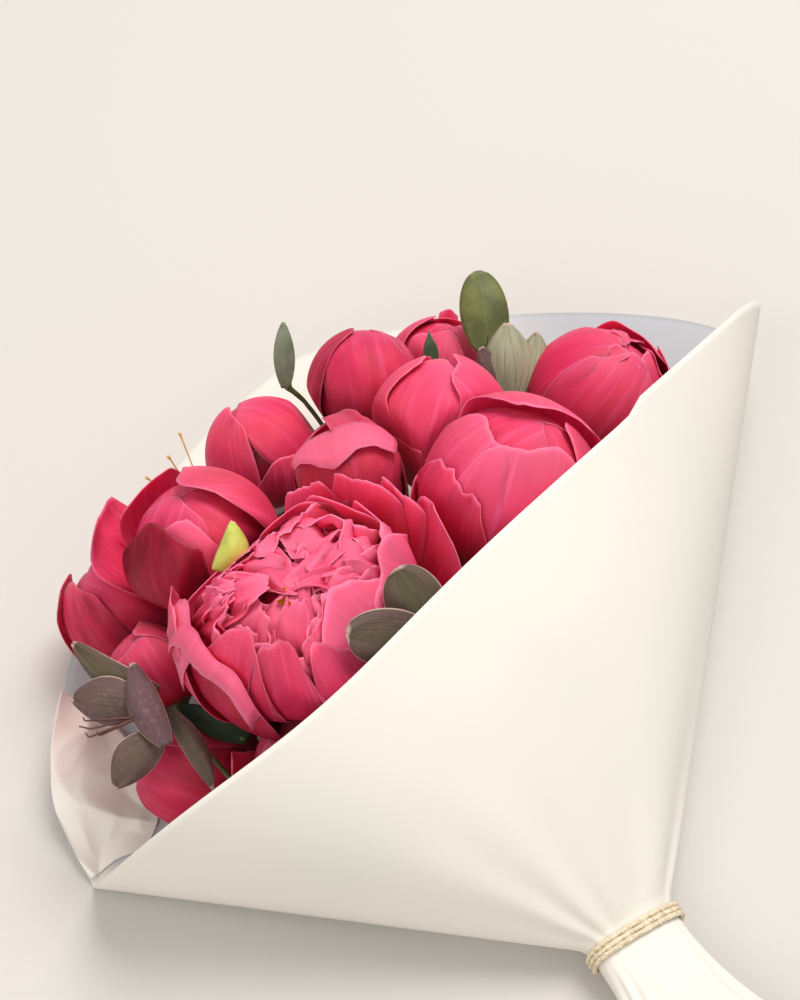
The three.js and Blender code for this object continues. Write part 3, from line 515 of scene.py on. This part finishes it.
# How the inner petals follow each other, and how far they stray from what they have in common.
covers = {"count": 3, "turnStep": 137.5, "sizeStep": 0.012}
tuftStray = {"turnStep": 75, "tip": 6}
ringStray = {
    "turnStep": 23, "turn": 14, "tip": 5, "halfWide": 5, "lean": 4, "standOff": 0.05, "curl": 0.05,
    "size": 0.03, "tone": 0.35, "slant": 0.2,
}
frillStray = {"turn": 34, "tip": 10, "lean": 5, "size": 0.04}
ringFront = {"turn": -15, "size": 0.07, "crumple": 0.05, "dent": 0.7}  # tucked behind the smooth outer petals
stamens = {
    "count": 12, "turn": -30, "polar": 17, "spread": 7, "from": 22, "to": 35, "evenness": 0.8, "bow": 1.2,
    "radius": 0.35, "bead": 0.7, "beadFrom": 0.75, "beadTo": 0.9, "hollow": 8,
}
heartForm = {"closed": (0.9, 0), "open": (0.64, -0.08)}  # size and rise, as shares of the bloom's radius
# What holds a petal back: the bed, the paper in front, a bloom's own flat sides and its neighbours.
wallForm = {
    "softness": 6, "rounds": 3, "bedHeight": 1.9, "cadThick": 0.8, "gap": 0.3, "slack": 0.1, "nearBy": 2.1,
    "frontNormal": Vector((0.116, -0.575, 0.81)), "frontReach": 139.7, "fullSize": 1.12, "insetShare": 26,
}


def axesOf(bloom):
    turn, rise = (rad(value) for value in bloom["faces"])
    up = Vector((math.sin(turn) * math.cos(rise), math.cos(turn) * math.cos(rise), math.sin(rise)))
    front = (frontSide - up * frontSide.dot(up)).normalized()
    return up, front, up.cross(front)


def wallsOf(name):
    form = wallForm
    bloom = blooms[name]
    centre = Vector(bloom["at"])
    walls = [
        (Vector((0, 0, -1)), centre.z - form["bedHeight"] - form["cadThick"] / 2),
        (form["frontNormal"], form["frontReach"] - form["frontNormal"].dot(centre)),
    ]
    for normal, reach in bloom.get("flatSides", []):
        walls.append((Vector(normal), reach - Vector(normal).dot(centre)))
    for other, values in blooms.items():
        away = Vector(values["at"]) - centre
        apart = away.length
        if other == name or apart > form["nearBy"] * (values["radius"] + bloom["radius"]):
            continue
        lost = form["cadThick"] + form["gap"]
        reach = (apart + bloom["radius"] - values["radius"] - lost) / 2 - form["slack"]
        walls.append((away.normalized(), reach))
    return walls


def press(point, centre, walls):  # a wall is felt from its softness on, and never passed
    soft = wallForm["softness"]
    for _ in range(wallForm["rounds"]):
        for normal, reach in walls:
            past = (point - centre).dot(normal) - reach + soft
            if past > 0:
                point = point + normal * (soft * (1 - math.exp(-past / soft)) - past)
    return point


def foldedAt(petal, u, v):  # how far this point lies past the line where the petal's tip turns over
    return max(0, v - 1 + petal["fold"] * (1 - petal["taper"] * (u + 1) / 2))


def reachAt(petal, u, v):  # how far along the petal's line from foot to tip
    form = petalForm
    seed = petal["seed"]
    jag = noise.noise(Vector((u * form["jags"], seed * 3.7, 0.5)))
    jag += form["fineJagShare"] * noise.noise(Vector((u * form["fineJags"], seed, 2.5)))
    jag *= petal["jag"]
    corners = petal["drop"] * u * u * v
    reach = v * (1 - corners - form["cornerRound"] * u ** 6 * v * v - petal["slant"] * u * v) + jag * v ** 6
    reach -= form["foldBack"] * foldedAt(petal, u, v) * (1 + petal["hang"] * (1 - u * u))
    return reach + form["tipWave"] * math.sin(form["tipWaves"] * u + seed) * v ** 4


def outAt(petal, u, v):  # how far out from the bloom's centre
    form = petalForm
    seed = petal["seed"]
    out = 1 - form["rootDraw"] * (1 - ease(v, 0, form["rootOver"])) + petal["standOff"] * v * v
    out += petal["curl"] * (v ** 4 + form["cornerCurl"] * u * u * v * v)
    out += petal["ruffle"] * math.sin(form["ruffles"] * u + seed) * v ** 3
    out += petal["frill"] * math.sin(form["frills"] * u + 3 * seed) * v ** 8
    out += form["foldOut"] * min(foldedAt(petal, u, v), form["foldOutMost"])
    across, along = form["crumples"]
    out += petal["crumple"] * noise.noise(Vector((u * across, v * along, seed * 5.3)))
    return out * petal["size"]


def petalAt(bloom, axes, petal, u, v):
    form = petalForm
    up, front, side = axes
    spokes = front * math.cos(rad(petal["turn"])) + side * math.sin(rad(petal["turn"]))
    over = up.cross(spokes)
    polar = rad(mix(petal["from"], petal["tip"], reachAt(petal, u, v)))
    width = petal["halfWide"] * math.sin(math.pi * (form["sineFrom"] + form["sineOver"] * v))
    width *= 1 - form["waist"] + form["waist"] * math.cos(form["waistWaves"] * v) + petal["broad"] * v ** 3
    sway = rad(u * width)
    out = outAt(petal, u, v)
    level = math.sin(polar) * math.cos(sway) * out
    rise = math.cos(polar) * math.cos(sway) * out + (petal["size"] - bloom["radius"]) * form["sizeRise"]
    point = spokes * level + up * rise + over * (math.sin(sway) * out)
    root = up * (form["rootAt"] * bloom["radius"])
    return Matrix.Rotation(rad(petal["lean"]), 3, over) @ (point - root) + root


def dentAt(petal, u, v):
    across, along = petalForm["dents"]
    bumps = noise.noise(Vector((u * across, v * along, petal["seed"] * 3.1)))
    return petal["dent"] * max(0, petalForm["dentFrom"] + bumps) * v


def strayed(petal, stray, name, seed):
    return petal.get(name, 0) + stray[name] * wobble(seed)


def ringPetals(ring, count, share, tip, halfWide, ruffle):
    def ringed(name, seed):
        return strayed(ringPetal, ringStray, name, seed)

    petals = []
    for i in range(count):
        turn = ringStray["turnStep"] * ring + 360 * i / count + ringed("turn", ring * 9 + i)
        hollow = stamens["hollow"] * max(0, math.cos(rad(turn - stamens["turn"])))
        inFront = max(0, math.cos(rad(turn - ringFront["turn"])))
        petals.append({
            **ringPetal, "turn": turn, "tip": tip + hollow + ringed("tip", ring + i * 5),
            "halfWide": halfWide + ringed("halfWide", i + 3 * ring), "lean": ringed("lean", ring * 3 + i),
            "standOff": ringed("standOff", ring + 8 * i) * (1 - inFront),
            "curl": ringed("curl", 11 * i + ring) * (1 - inFront),
            "size": share * (1 + ringed("size", 7 * i + ring)) * (1 - ringFront["size"] * inFront),
            "ruffle": ruffle, "seed": ring * 4 + i, "tone": ringed("tone", i + 3 * ring),
            "crumple": ringPetal["crumple"] - ringFront["crumple"] * inFront,
            "dent": ringPetal["dent"] * (1 - ringFront["dent"] * inFront),
            "slant": ringed("slant", 5 * i + ring),
        })
    return petals


def petalsOf(bloom):  # covers or rings, tuft and frills, then the ones that the bloom's table names
    petals = []
    if "rings" not in bloom:
        for i in range(covers["count"]):
            turn = coverPetal["turn"] + covers["turnStep"] * i
            size = coverPetal["size"] + covers["sizeStep"] * i
            petals.append({**coverPetal, "turn": turn, "size": size, "seed": i})
    for i in range(bloom.get("tuft", 0)):
        tip = strayed(tuftPetal, tuftStray, "tip", i)
        petals.append({**tuftPetal, "turn": tuftStray["turnStep"] * i, "tip": tip, "seed": i})
    for ring, values in enumerate(bloom.get("rings", [])):
        petals += ringPetals(ring, *values)
    for i in range(bloom.get("frills", 0)):
        seeds = {"turn": i, "tip": i + 20, "lean": i + 5, "size": i + 30}
        moved = {name: strayed(frillPetal, frillStray, name, seed) for name, seed in seeds.items()}
        petals.append({**frillPetal, **moved, "seed": i + 50})
    names = ("turn", "tip", "halfWide", "standOff", "lean", "curl", "size", "tone")
    for i, values in enumerate(bloom["petals"]):
        special = values[8] if len(values) > 8 else {}
        petals.append({**dict(zip(names, values)), "seed": 2 * i, **special})
    return [{**plainPetal, **petal} for petal in petals]


def makeBloom(name):
    bloom = blooms[name]
    axes = axesOf(bloom)
    centre = Vector(bloom["at"])
    walls = wallsOf(name)
    kind = "open" if "rings" in bloom else "closed"
    bm = startBlades()
    for petal in petalsOf(bloom):
        inset = 0  # the smaller an open bloom's petal, the further inside the walls it stays
        if kind == "open":
            inset = max(0, wallForm["fullSize"] - petal["size"]) * wallForm["insetShare"]
        felt = walls[:2] if petal["free"] else walls  # a free petal passes its neighbours
        near = [(normal, reach - inset) for normal, reach in felt]
        petal["size"] *= bloom["radius"]

        def placeAt(u, v):
            point = press(centre + petalAt(bloom, axes, petal, u, v), centre, near)
            lift = min(petalForm["foldLiftMost"], petalForm["foldLift"] * foldedAt(petal, u, v))
            return point + (point - centre).normalized() * (lift - dentAt(petal, u, v))

        def toneAt(v):  # a folded tip shows the pale back
            if not petal["fold"]:
                return petal["tone"]
            line = 1 - petal["fold"]
            return petal["tone"] + ease(v, line - petalForm["foldLine"], line)
        addBlade(bm, placeAt, petal["fine"], petal["fine"] + 4, toneAt, centre)
    finish = petalFinish("petal_" + name, bloom["shade"], bloom.get("paintedLight", 0))
    thicken(newPiece("petals_" + name, bm, finish, ["bloom_" + name]), petalForm["thick"], -1)

    heart = bmesh.new()  # the closed middle that the petals wrap
    bmesh.ops.create_icosphere(heart, subdivisions=4, radius=1)
    share, rise = heartForm[kind]
    middle = centre + axes[0] * (rise * bloom["radius"])
    for vert in heart.verts:
        vert.co = press(middle + vert.co * bloom["radius"] * share, centre, walls) * mm
    newPiece("heart_" + name, heart, heartRed)


def makeStamens():
    bloom = blooms["open"]
    up, front, side = axesOf(bloom)
    centre = Vector(bloom["at"])
    turn, polar = rad(stamens["turn"]), rad(stamens["polar"])
    middle = up * math.cos(polar) + (front * math.cos(turn) + side * math.sin(turn)) * math.sin(polar)
    spread = math.tan(rad(stamens["spread"]))
    bm = bmesh.new()
    for i in range(stamens["count"]):
        way = (middle + front * wobble(i) * spread + side * wobble(i + 40) * spread).normalized()
        share = stamens["evenness"] + (1 - stamens["evenness"]) * wobble(i + 9)
        end = mix(stamens["from"], stamens["to"], share)

        def pathAt(t):
            return centre + way * mix(stamens["from"], end, t) + side * stamens["bow"] * math.sin(2 * t + i)

        def radiusAt(t, turn):
            return mix(stamens["radius"], stamens["bead"], ease(t, stamens["beadFrom"], stamens["beadTo"]))
        addTube(bm, pathAt, radiusAt, 6, 8)
    newPiece("stamens_open", bm, plainFinish("stamenGold", rgb(228, 160, 50), 0.5))


heartRed = plainFinish("heartRed", rgb(150, 14, 44), 0.5)
for name in blooms:
    makeBloom(name)
makeStamens()
print("blooms made:", len(blooms))

# Hellebores, each blade as [root, tip, wide, how far the middle bows to the front, how much it cups, how far
# it sways aside, how green it is].
hellebores = {
    "hellebore_left": {
        "knobAt": (-143, -26, 84),
        "blades": [[(-134.3, -20.2, 84), (-156.4, 22.6, 82), 14, 3, 2, -4, 0.8],
                   [(-143.4, -21.8, 84), (-167.7, -1.3, 80), 22, 4, 4, 0, 0.45],
                   [(-142.6, -47.5, 88), (-138.9, -6.1, 92), 15, 6, 5, -2, 0.0],
                   [(-142.3, -39.8, 84), (-169, -46.1, 72), 18, 4, 3, 2, 0.5],
                   [(-134.1, -31.1, 84), (-132.9, -70.2, 76), 10, 3, 3, -2, 0.6]],
    },
    "hellebore_edge": {
        "round": True,
        "blades": [[(-28.1, -74, 116.8), (-62, -63, 136), 25, 2, 3, 0, 0.6],
                   [(-25.3, -72.5, 116.9), (-28, -46, 137), 26, 2, 3, 0, 0.9],
                   [(-22.4, -74.4, 115.4), (6, -68, 120), 22, 0, 1, 0, 0.6],
                   [(-23.2, -77.1, 113.6), (-4, -100, 99), 20, -1, 1, 0, 0.5],
                   [(-26.6, -77.1, 113.6), (-44, -100, 99), 20, -1, 1, 0, 0.5]],
    },
    "hellebore_top": {
        "blades": [[(97.6, 56.2, 62), (113.1, 85.7, 82), 26, 5, 6, 0, 1.5],
                   [(103, 55, 60), (126, 76, 77), 19, 4, 6, 2, 1.4],
                   [(97, 56.9, 60), (95.9, 82.9, 76), 17, 3, 4, 0, 0.3],
                   [(95.1, 61.4, 58), (109.3, 65.6, 68), 10, 3, 4, 0, 1.3]],
    },
}
leaves = {
    "leaf_top": {"root": (101, 82, 70), "tip": (115, 118, 90), "wide": 25, "bow": 4, "cup": 4, "round": True,
                 "stem": "hellebore_top"},
    "leaf_rear": {"root": (3, 124, 56), "tip": (15, 147, 78), "wide": 11, "bow": 2, "cup": 1,
                  "stem": "leaf_rear"},
    "leaf_middle": {"root": (68, 85, 76), "tip": (71, 94, 92), "wide": 9, "bow": 1, "cup": 1, "point": 0.9,
                    "stem": "leaf_middle"},
    "leaf_dark": {"root": (-107, -52, 66), "tip": (-128, -24, 72), "wide": 12, "bow": 3, "cup": 1,
                  "stem": "hellebore_left"},
}
curledSepal = {"root": (-91, 1, 120), "tip": (-75, 17, 126), "wide": 13, "bow": 6, "cup": 6, "sway": 4,
               "crinkle": 1.0}
leafForm = {
    "thick": 0.6, "knob": 3.4, "sepalCrinkle": 1.3, "crinkle": 0.5, "crinkles": (5, 6),
    "roundFrom": 0.06, "roundOver": 0.937, "sineFrom": 0.1, "sineOver": 0.88, "fullness": 0.8,
}


def halfWideAt(leaf, v):
    form = leafForm
    if leaf.get("round"):
        across = 2 * (form["roundFrom"] + form["roundOver"] * v) - 1
        return leaf["wide"] / 2 * math.sqrt(1 - across ** 2)
    full = math.sin(math.pi * (form["sineFrom"] + form["sineOver"] * v)) ** form["fullness"]
    return leaf["wide"] / 2 * full * (1 - leaf.get("point", 0) * v * v)


def leafAt(leaf, u, v):
    start = Vector(leaf["root"])
    run = Vector(leaf["tip"]) - start
    sway = leaf.get("sway", 0) * math.sin(math.pi * v)
    face = (frontSide - run * (frontSide.dot(run) / run.length_squared)).normalized()
    broad = run.cross(face).normalized()
    lift = (leaf["bow"] - leaf["cup"] * u * u) * math.sin(math.pi * v)
    across, along = leafForm["crinkles"]
    lift += leaf.get("crinkle", leafForm["crinkle"]) * math.sin(along * v + across * u) * abs(u) * v
    return start + run * v + broad * (u * halfWideAt(leaf, v) + sway) + face * lift


def makeHellebore(name):
    bm = startBlades()
    names = ("root", "tip", "wide", "bow", "cup", "sway", "green")
    for values in hellebores[name]["blades"]:
        leaf = {**dict(zip(names, values)), "round": hellebores[name].get("round"),
                "crinkle": leafForm["sepalCrinkle"]}
        addBlade(bm, lambda u, v: leafAt(leaf, u, v), 16, 24, leaf["green"])
    thicken(newPiece("sepals_" + name, bm, sepalSkin, [name]), leafForm["thick"])


def makeKnob(name):
    bm = bmesh.new()
    bmesh.ops.create_uvsphere(bm, u_segments=20, v_segments=12, radius=leafForm["knob"] * mm)
    bmesh.ops.translate(bm, verts=bm.verts, vec=Vector(hellebores[name]["knobAt"]) * mm)
    newPiece("knob_" + name, bm, plainFinish("knobOlive", rgb(92, 88, 44), 0.6))


def makeLeaf(name, leaf, across, along, finish, nodes=()):
    bm = startBlades()
    addBlade(bm, lambda u, v: leafAt(leaf, u, v), across, along, 0.5)
    thicken(newPiece(name, bm, finish, nodes), leafForm["thick"])


sepalSkin = sepalFinish()
for name in hellebores:
    makeHellebore(name)
makeKnob("hellebore_left")
lime = leafFinish("lime", rgb(150, 150, 50), rgb(196, 200, 96), rgb(240, 226, 180))
makeLeaf("curledSepal", curledSepal, 16, 20, lime, ["curled_sepal"])
print("hellebores made")

# Stems are smoothed copies of the part's, which give up their leaves for the finer ones.
leafGreens = {
    "leaf_top": leafFinish("leafOlive", rgb(72, 80, 38), rgb(112, 118, 64), rgb(140, 132, 100)),
    "leaf_rear": leafFinish("leafGrey", rgb(88, 98, 80), rgb(128, 138, 112), rgb(150, 150, 120)),
    "leaf_middle": leafFinish("leafFresh", rgb(60, 88, 66), rgb(96, 124, 92), rgb(120, 140, 110)),
    "leaf_dark": leafFinish("leafDark", rgb(14, 34, 12), rgb(26, 52, 20), rgb(60, 70, 40)),
}
stemForm = {"cutFrom": 0.1, "cutTo": 1.2, "cutWide": 0.75, "levels": 1}


def isOn(leaf, point):
    off = point - Vector(leaf["root"]) * mm
    run = (Vector(leaf["tip"]) - Vector(leaf["root"])) * mm
    share = off.dot(run) / run.length_squared
    inLine = stemForm["cutFrom"] < share < stemForm["cutTo"]
    return inLine and (off - run * share).length < leaf["wide"] * stemForm["cutWide"] * mm


def smoothCopy(node, name, finish, leaf=None):
    bm = bmesh.new()
    bm.from_mesh(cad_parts[node].data)
    bmesh.ops.remove_doubles(bm, verts=bm.verts, dist=1e-5)
    if leaf:
        gone = [face for face in bm.faces if isOn(leaf, face.calc_center_median())]
        bmesh.ops.delete(bm, geom=gone, context="FACES")
    piece = newPiece(name, bm, finish, [node])
    smooth = piece.modifiers.new("smooth", "SUBSURF")
    smooth.levels = stemForm["levels"]
    smooth.render_levels = stemForm["levels"]


stemGreen = stemFinish()
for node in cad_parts:
    if node.startswith("stem_"):
        leaf = next((values for values in leaves.values() if "stem_" + values["stem"] == node), None)
        smoothCopy(node, node + "_round", stemGreen, leaf)
for name, leaf in leaves.items():
    makeLeaf(name, leaf, 12, 22, leafGreens[name])

styles = {
    "root": (-147.3, -29.3, 88), "radius": 0.7, "tipRadius": 0.35,
    "bendAt": 0.6, "bend": 2, "hook": 2.5, "hookFrom": 0.85,
    "tips": [(-170.3, -20.6, 92), (-169.8, -25.2, 91), (-172.1, -28.3, 90), (-167, -29.5, 89),
             (-166, -23, 93)],
}


def makeStyles():
    bm = bmesh.new()
    root = Vector(styles["root"])
    for i, tip in enumerate(styles["tips"]):
        bend = root.lerp(Vector(tip), styles["bendAt"]) + frontSide * (styles["bend"] + wobble(i))
        hook = Vector((wobble(i), wobble(i + 5), 0.5)) * styles["hook"]

        def pathAt(t):
            return curveAt((root, bend, tip), t) + hook * ease(t, styles["hookFrom"], 1) ** 2

        def radiusAt(t, turn):
            return mix(styles["radius"], styles["tipRadius"], t)
        addTube(bm, pathAt, radiusAt, 8, 24)
    finish = plainFinish("styleMaroon", rgb(84, 46, 42), 0.5)
    newPiece("styles_left", bm, finish, ["hellebore_left_styles"])


makeStyles()
smoothCopy("sprigs", "sprigs_round", plainFinish("sprigGold", rgb(206, 170, 96), 0.5))
print("stems and leaves made")

# The wrap is one sleeve, from the skirt by the tied neck to the rim. Its edge sags, and steps down once.
paper = {
    "tie": Vector((5, -200, 15.7)), "neckWide": 21.2, "neckTall": 10.9, "neckLong": 5, "neckPower": 0.72,
    "neckShare": 0.02, "skirtY": -276, "skirtWide": 42, "skirtTall": 15, "skirtShare": 0.2,
    "left": -193, "right": 259.2, "top": 139.6, "low": 0.4, "farReach": 171, "belly": 6,
    "bedAt": 0.22, "bedSides": 0.8, "bedFlat": -0.3, "squareness": 2.6, "farLeft": 2.2, "farRight": 1.25,
    "thick": 0.5, "around": 160, "rows": 70, "pleat": 1.2, "pleats": 13, "pleatDrift": 2, "pleatDrifts": 3,
    "skirtPleat": 1.6, "pleatFull": 0.08, "pleatFrom": 0.1, "pleatTo": 0.75,
    "edgeY": 2.6, "edgeAside": 0.281, "edgeLean": -0.435,
    "sag": 0.035, "sagAt": 122, "sagWide": 19, "step": 0.022, "stepAt": 71, "stepWide": 1.5, "stepFrom": 25,
    "stepFull": 45,
}


def bulge(s, power):
    return max(0, 1 - abs(s) ** power) ** (1 / power)


def edgeAt(x, z):  # the straight front edge lies in one slanted plane
    return Vector((x, paper["edgeY"] + paper["edgeAside"] * x + paper["edgeLean"] * z, z))


def rimAt(turn):
    half = (paper["right"] - paper["left"]) / 2
    s = math.cos(turn)
    x = paper["left"] + half * (1 + s)
    if math.sin(turn) >= 0:
        return edgeAt(x, paper["low"] + paper["top"] * bulge(s, paper["squareness"]))
    chord = edgeAt(x, paper["low"])
    chord.y += paper["farReach"] * bulge(s, paper["farLeft"] if s < 0 else paper["farRight"])
    return chord


def squared(value):
    return math.copysign(abs(value) ** paper["neckPower"], value)


def sleeveAt(turn, v):  # v is -1 at the skirt's edge, 0 at the neck and 1 at the rim
    c = squared(math.cos(turn))
    s = squared(math.sin(turn))
    tie = paper["tie"]
    waist = tie + Vector((c * paper["neckWide"], paper["neckLong"], s * paper["neckTall"]))
    if v < 0:
        t = v * v
        wide = mix(paper["neckWide"], paper["skirtWide"], t)
        tall = mix(paper["neckTall"], paper["skirtTall"], t)
        y = mix(tie.y - paper["neckLong"], paper["skirtY"], -v)
        return Vector((tie.x + c * wide, y, tie.z + s * tall))
    if v < paper["neckShare"]:
        waist.y = tie.y + mix(-paper["neckLong"], paper["neckLong"], v / paper["neckShare"])
        return waist
    rim = rimAt(turn)
    t = (v - paper["neckShare"]) / (1 - paper["neckShare"])
    point = waist.lerp(rim, t)
    if s >= 0:
        point.z += paper["belly"] * math.sin(math.pi * t) * s
    else:
        bed = mix(waist.z, rim.z, ease(t, 0, paper["bedAt"]))
        point.z = mix(point.z, bed, ease(-s, 0, paper["bedSides"]))
    return point


def rimDropAt(turn):  # how the sag and the step change the length of the sleeve
    angle = math.degrees(turn)
    share = 1 - paper["sag"] * math.exp(-((angle - paper["sagAt"]) / paper["sagWide"]) ** 2)
    step = ease(paper["stepAt"] - angle, -paper["stepWide"], paper["stepWide"])
    return share * (1 + paper["step"] * step * ease(angle, paper["stepFrom"], paper["stepFull"]))


def pleatAt(turn, along):
    drift = paper["pleatDrift"] * math.sin(paper["pleatDrifts"] * turn)
    folds = paper["pleat"] * math.sin(paper["pleats"] * turn + drift)
    if along < 0:
        return folds * -along * paper["skirtPleat"]
    gone = ease(along, paper["pleatFrom"], paper["pleatTo"])
    return folds * ease(along, 0, paper["pleatFull"]) * (1 - gone)


def makeWrap():
    def placeAt(u, v):
        turn = math.pi * (u + 1)
        if v < paper["skirtShare"]:
            along = mix(-1, 0, v / paper["skirtShare"])
        else:
            along = (v - paper["skirtShare"]) / (1 - paper["skirtShare"]) * rimDropAt(turn)
        upwards = math.sin(turn)
        if upwards <= paper["bedFlat"] and along >= 0:
            upwards = 0
        point = sleeveAt(turn, along) + Vector((math.cos(turn), 0, upwards)) * pleatAt(turn, along)
        return Vector((point.x, point.y, max(point.z, paper["low"])))

    bm = startBlades()
    addBlade(bm, placeAt, paper["around"], paper["rows"], 0.5)
    bmesh.ops.remove_doubles(bm, verts=bm.verts, dist=2e-5)
    bmesh.ops.recalc_face_normals(bm, faces=bm.faces)
    piece = newPiece("paperWrap", bm, wrapFinish(), ["wrap"])
    thicken(piece, paper["thick"])
    return piece


tissueForm = {
    "low": [(-164, -47, 3), (-136, -32, 3), (-149.1, 22.5, 6)],
    "high": [(-192, -48.6, 4), (-203, -6.4, 20), (-165.6, 30.4, 36)],
    "thick": 0.3, "left": -193.5, "bed": 2.4, "across": 90, "along": 50,
    "ridges": 4.5, "often": (1.9, 1.4), "sharp": 2.2, "fine": 0.5, "fineOften": 2.1, "level": 1.2,
    "ridgeWay": Vector((0.3, -0.4, 0.85)),
}


def makeTissue():
    form = tissueForm

    def placeAt(u, v):
        t = (u + 1) / 2
        point = curveAt(form["low"], t).lerp(curveAt(form["high"], t), v)
        spot = Vector((t * form["often"][0], v * form["often"][1], 1.7))
        ridge = (0.5 - abs(noise.noise(spot))) * form["sharp"]
        ridge += (0.5 - abs(noise.noise(spot * form["fineOften"]))) * form["fine"] - form["level"]
        point += form["ridgeWay"] * (ridge * form["ridges"])
        return Vector((max(form["left"], point.x), point.y, max(form["bed"], point.z)))

    bm = startBlades()
    addBlade(bm, placeAt, form["across"], form["along"], 0.5)
    piece = newPiece("tissueSheet", bm, tissueFinish(), ["tissue"])
    thicken(piece, form["thick"])
    return piece


twine = {"radius": 1.2, "turns": (-2, 0, 2), "air": 0.9, "around": 12, "steps": 120, "twist": 26, "lay": 0.12}


def makeTwine():
    bm = bmesh.new()
    off = twine["air"] + twine["radius"]
    for k in twine["turns"]:
        def pathAt(t):
            c = squared(math.cos(math.tau * t)) * (paper["neckWide"] + off)
            s = squared(math.sin(math.tau * t)) * (paper["neckTall"] + off)
            return paper["tie"] + Vector((c, k * twine["radius"], s))

        def radiusAt(t, turn):  # two strands, twisted
            return twine["radius"] * (1 + twine["lay"] * math.cos(2 * turn + twine["twist"] * math.tau * t))
        addTube(bm, pathAt, radiusAt, twine["around"], twine["steps"])
    newPiece("twineTurns", bm, twineFinish(), ["tie"])


wrap = makeWrap()
tissue = makeTissue()
makeTwine()
print("paper, tissue and twine made")

# Metres and watts from here on.
studio = {
    "floor": rgb(206, 202, 197), "floorSize": 9, "floorDrop": 0.0006, "sky": (1, 0.97, 0.94, 1),
    "worldStrength": 0.49, "lightSize": 1.4, "lightAim": (0, 0, 0.05),
    "keyAt": (0.95, 0.45, 2.4), "keyPower": 60, "keyColour": (1, 0.98, 0.95),
    "fillAt": (-1.3, -0.7, 1.3), "fillPower": 14, "fillColour": (1, 0.97, 0.95),
}


def makeFloor():
    bm = bmesh.new()
    bmesh.ops.create_grid(bm, x_segments=1, y_segments=1, size=studio["floorSize"])
    bmesh.ops.translate(bm, verts=bm.verts, vec=(0, 0, -studio["floorDrop"]))
    newObject("floor", bm, plainFinish("floorPaint", studio["floor"], 0.95))


def addLight(name):
    data = bpy.data.lights.new(name, "AREA")
    data.size = studio["lightSize"]
    data.energy = studio[name + "Power"]
    data.color = studio[name + "Colour"]
    light = bpy.data.objects.new(name, data)
    bpy.context.scene.collection.objects.link(light)
    light.location = studio[name + "At"]
    aim = Vector(studio["lightAim"]) - light.location
    light.rotation_euler = aim.to_track_quat("-Z", "Y").to_euler()


makeFloor()
addLight("key")
addLight("fill")
world = bpy.data.worlds.new("studioWorld")
bpy.context.scene.world = world
world.use_nodes = True
sky = world.node_tree.nodes["Background"].inputs
sky["Color"].default_value = studio["sky"]
sky["Strength"].default_value = studio["worldStrength"]

shot = {
    "lens": 60, "sensor": 36, "rise": 55, "turn": -30, "distance": 0.8, "aim": (0, 0, 0.06),
    "aimPixel": (400, 560), "frame": (800, 1000),
}


def makeCamera():
    rise, turn = rad(shot["rise"]), rad(shot["turn"])
    back = Vector((math.sin(turn) * math.cos(rise), -math.cos(turn) * math.cos(rise), math.sin(rise)))
    right = Vector((math.cos(turn), math.sin(turn), 0))
    up = back.cross(right)
    perPixel = shot["sensor"] / shot["lens"] / max(shot["frame"])
    aside = (shot["aimPixel"][0] - shot["frame"][0] / 2) * perPixel
    above = (shot["frame"][1] / 2 - shot["aimPixel"][1]) * perPixel
    place = Vector(shot["aim"]) - (right * aside + up * above - back) * shot["distance"]
    data = bpy.data.cameras.new("camera")
    data.lens = shot["lens"]
    data.sensor_width = shot["sensor"]
    camera = bpy.data.objects.new("camera", data)
    bpy.context.scene.collection.objects.link(camera)
    camera.matrix_world = Matrix.Translation(place) @ Matrix((right, up, back)).transposed().to_4x4()
    bpy.context.scene.camera = camera


makeCamera()
bpy.context.scene.view_settings.view_transform = "Standard"
print("camera and light set")
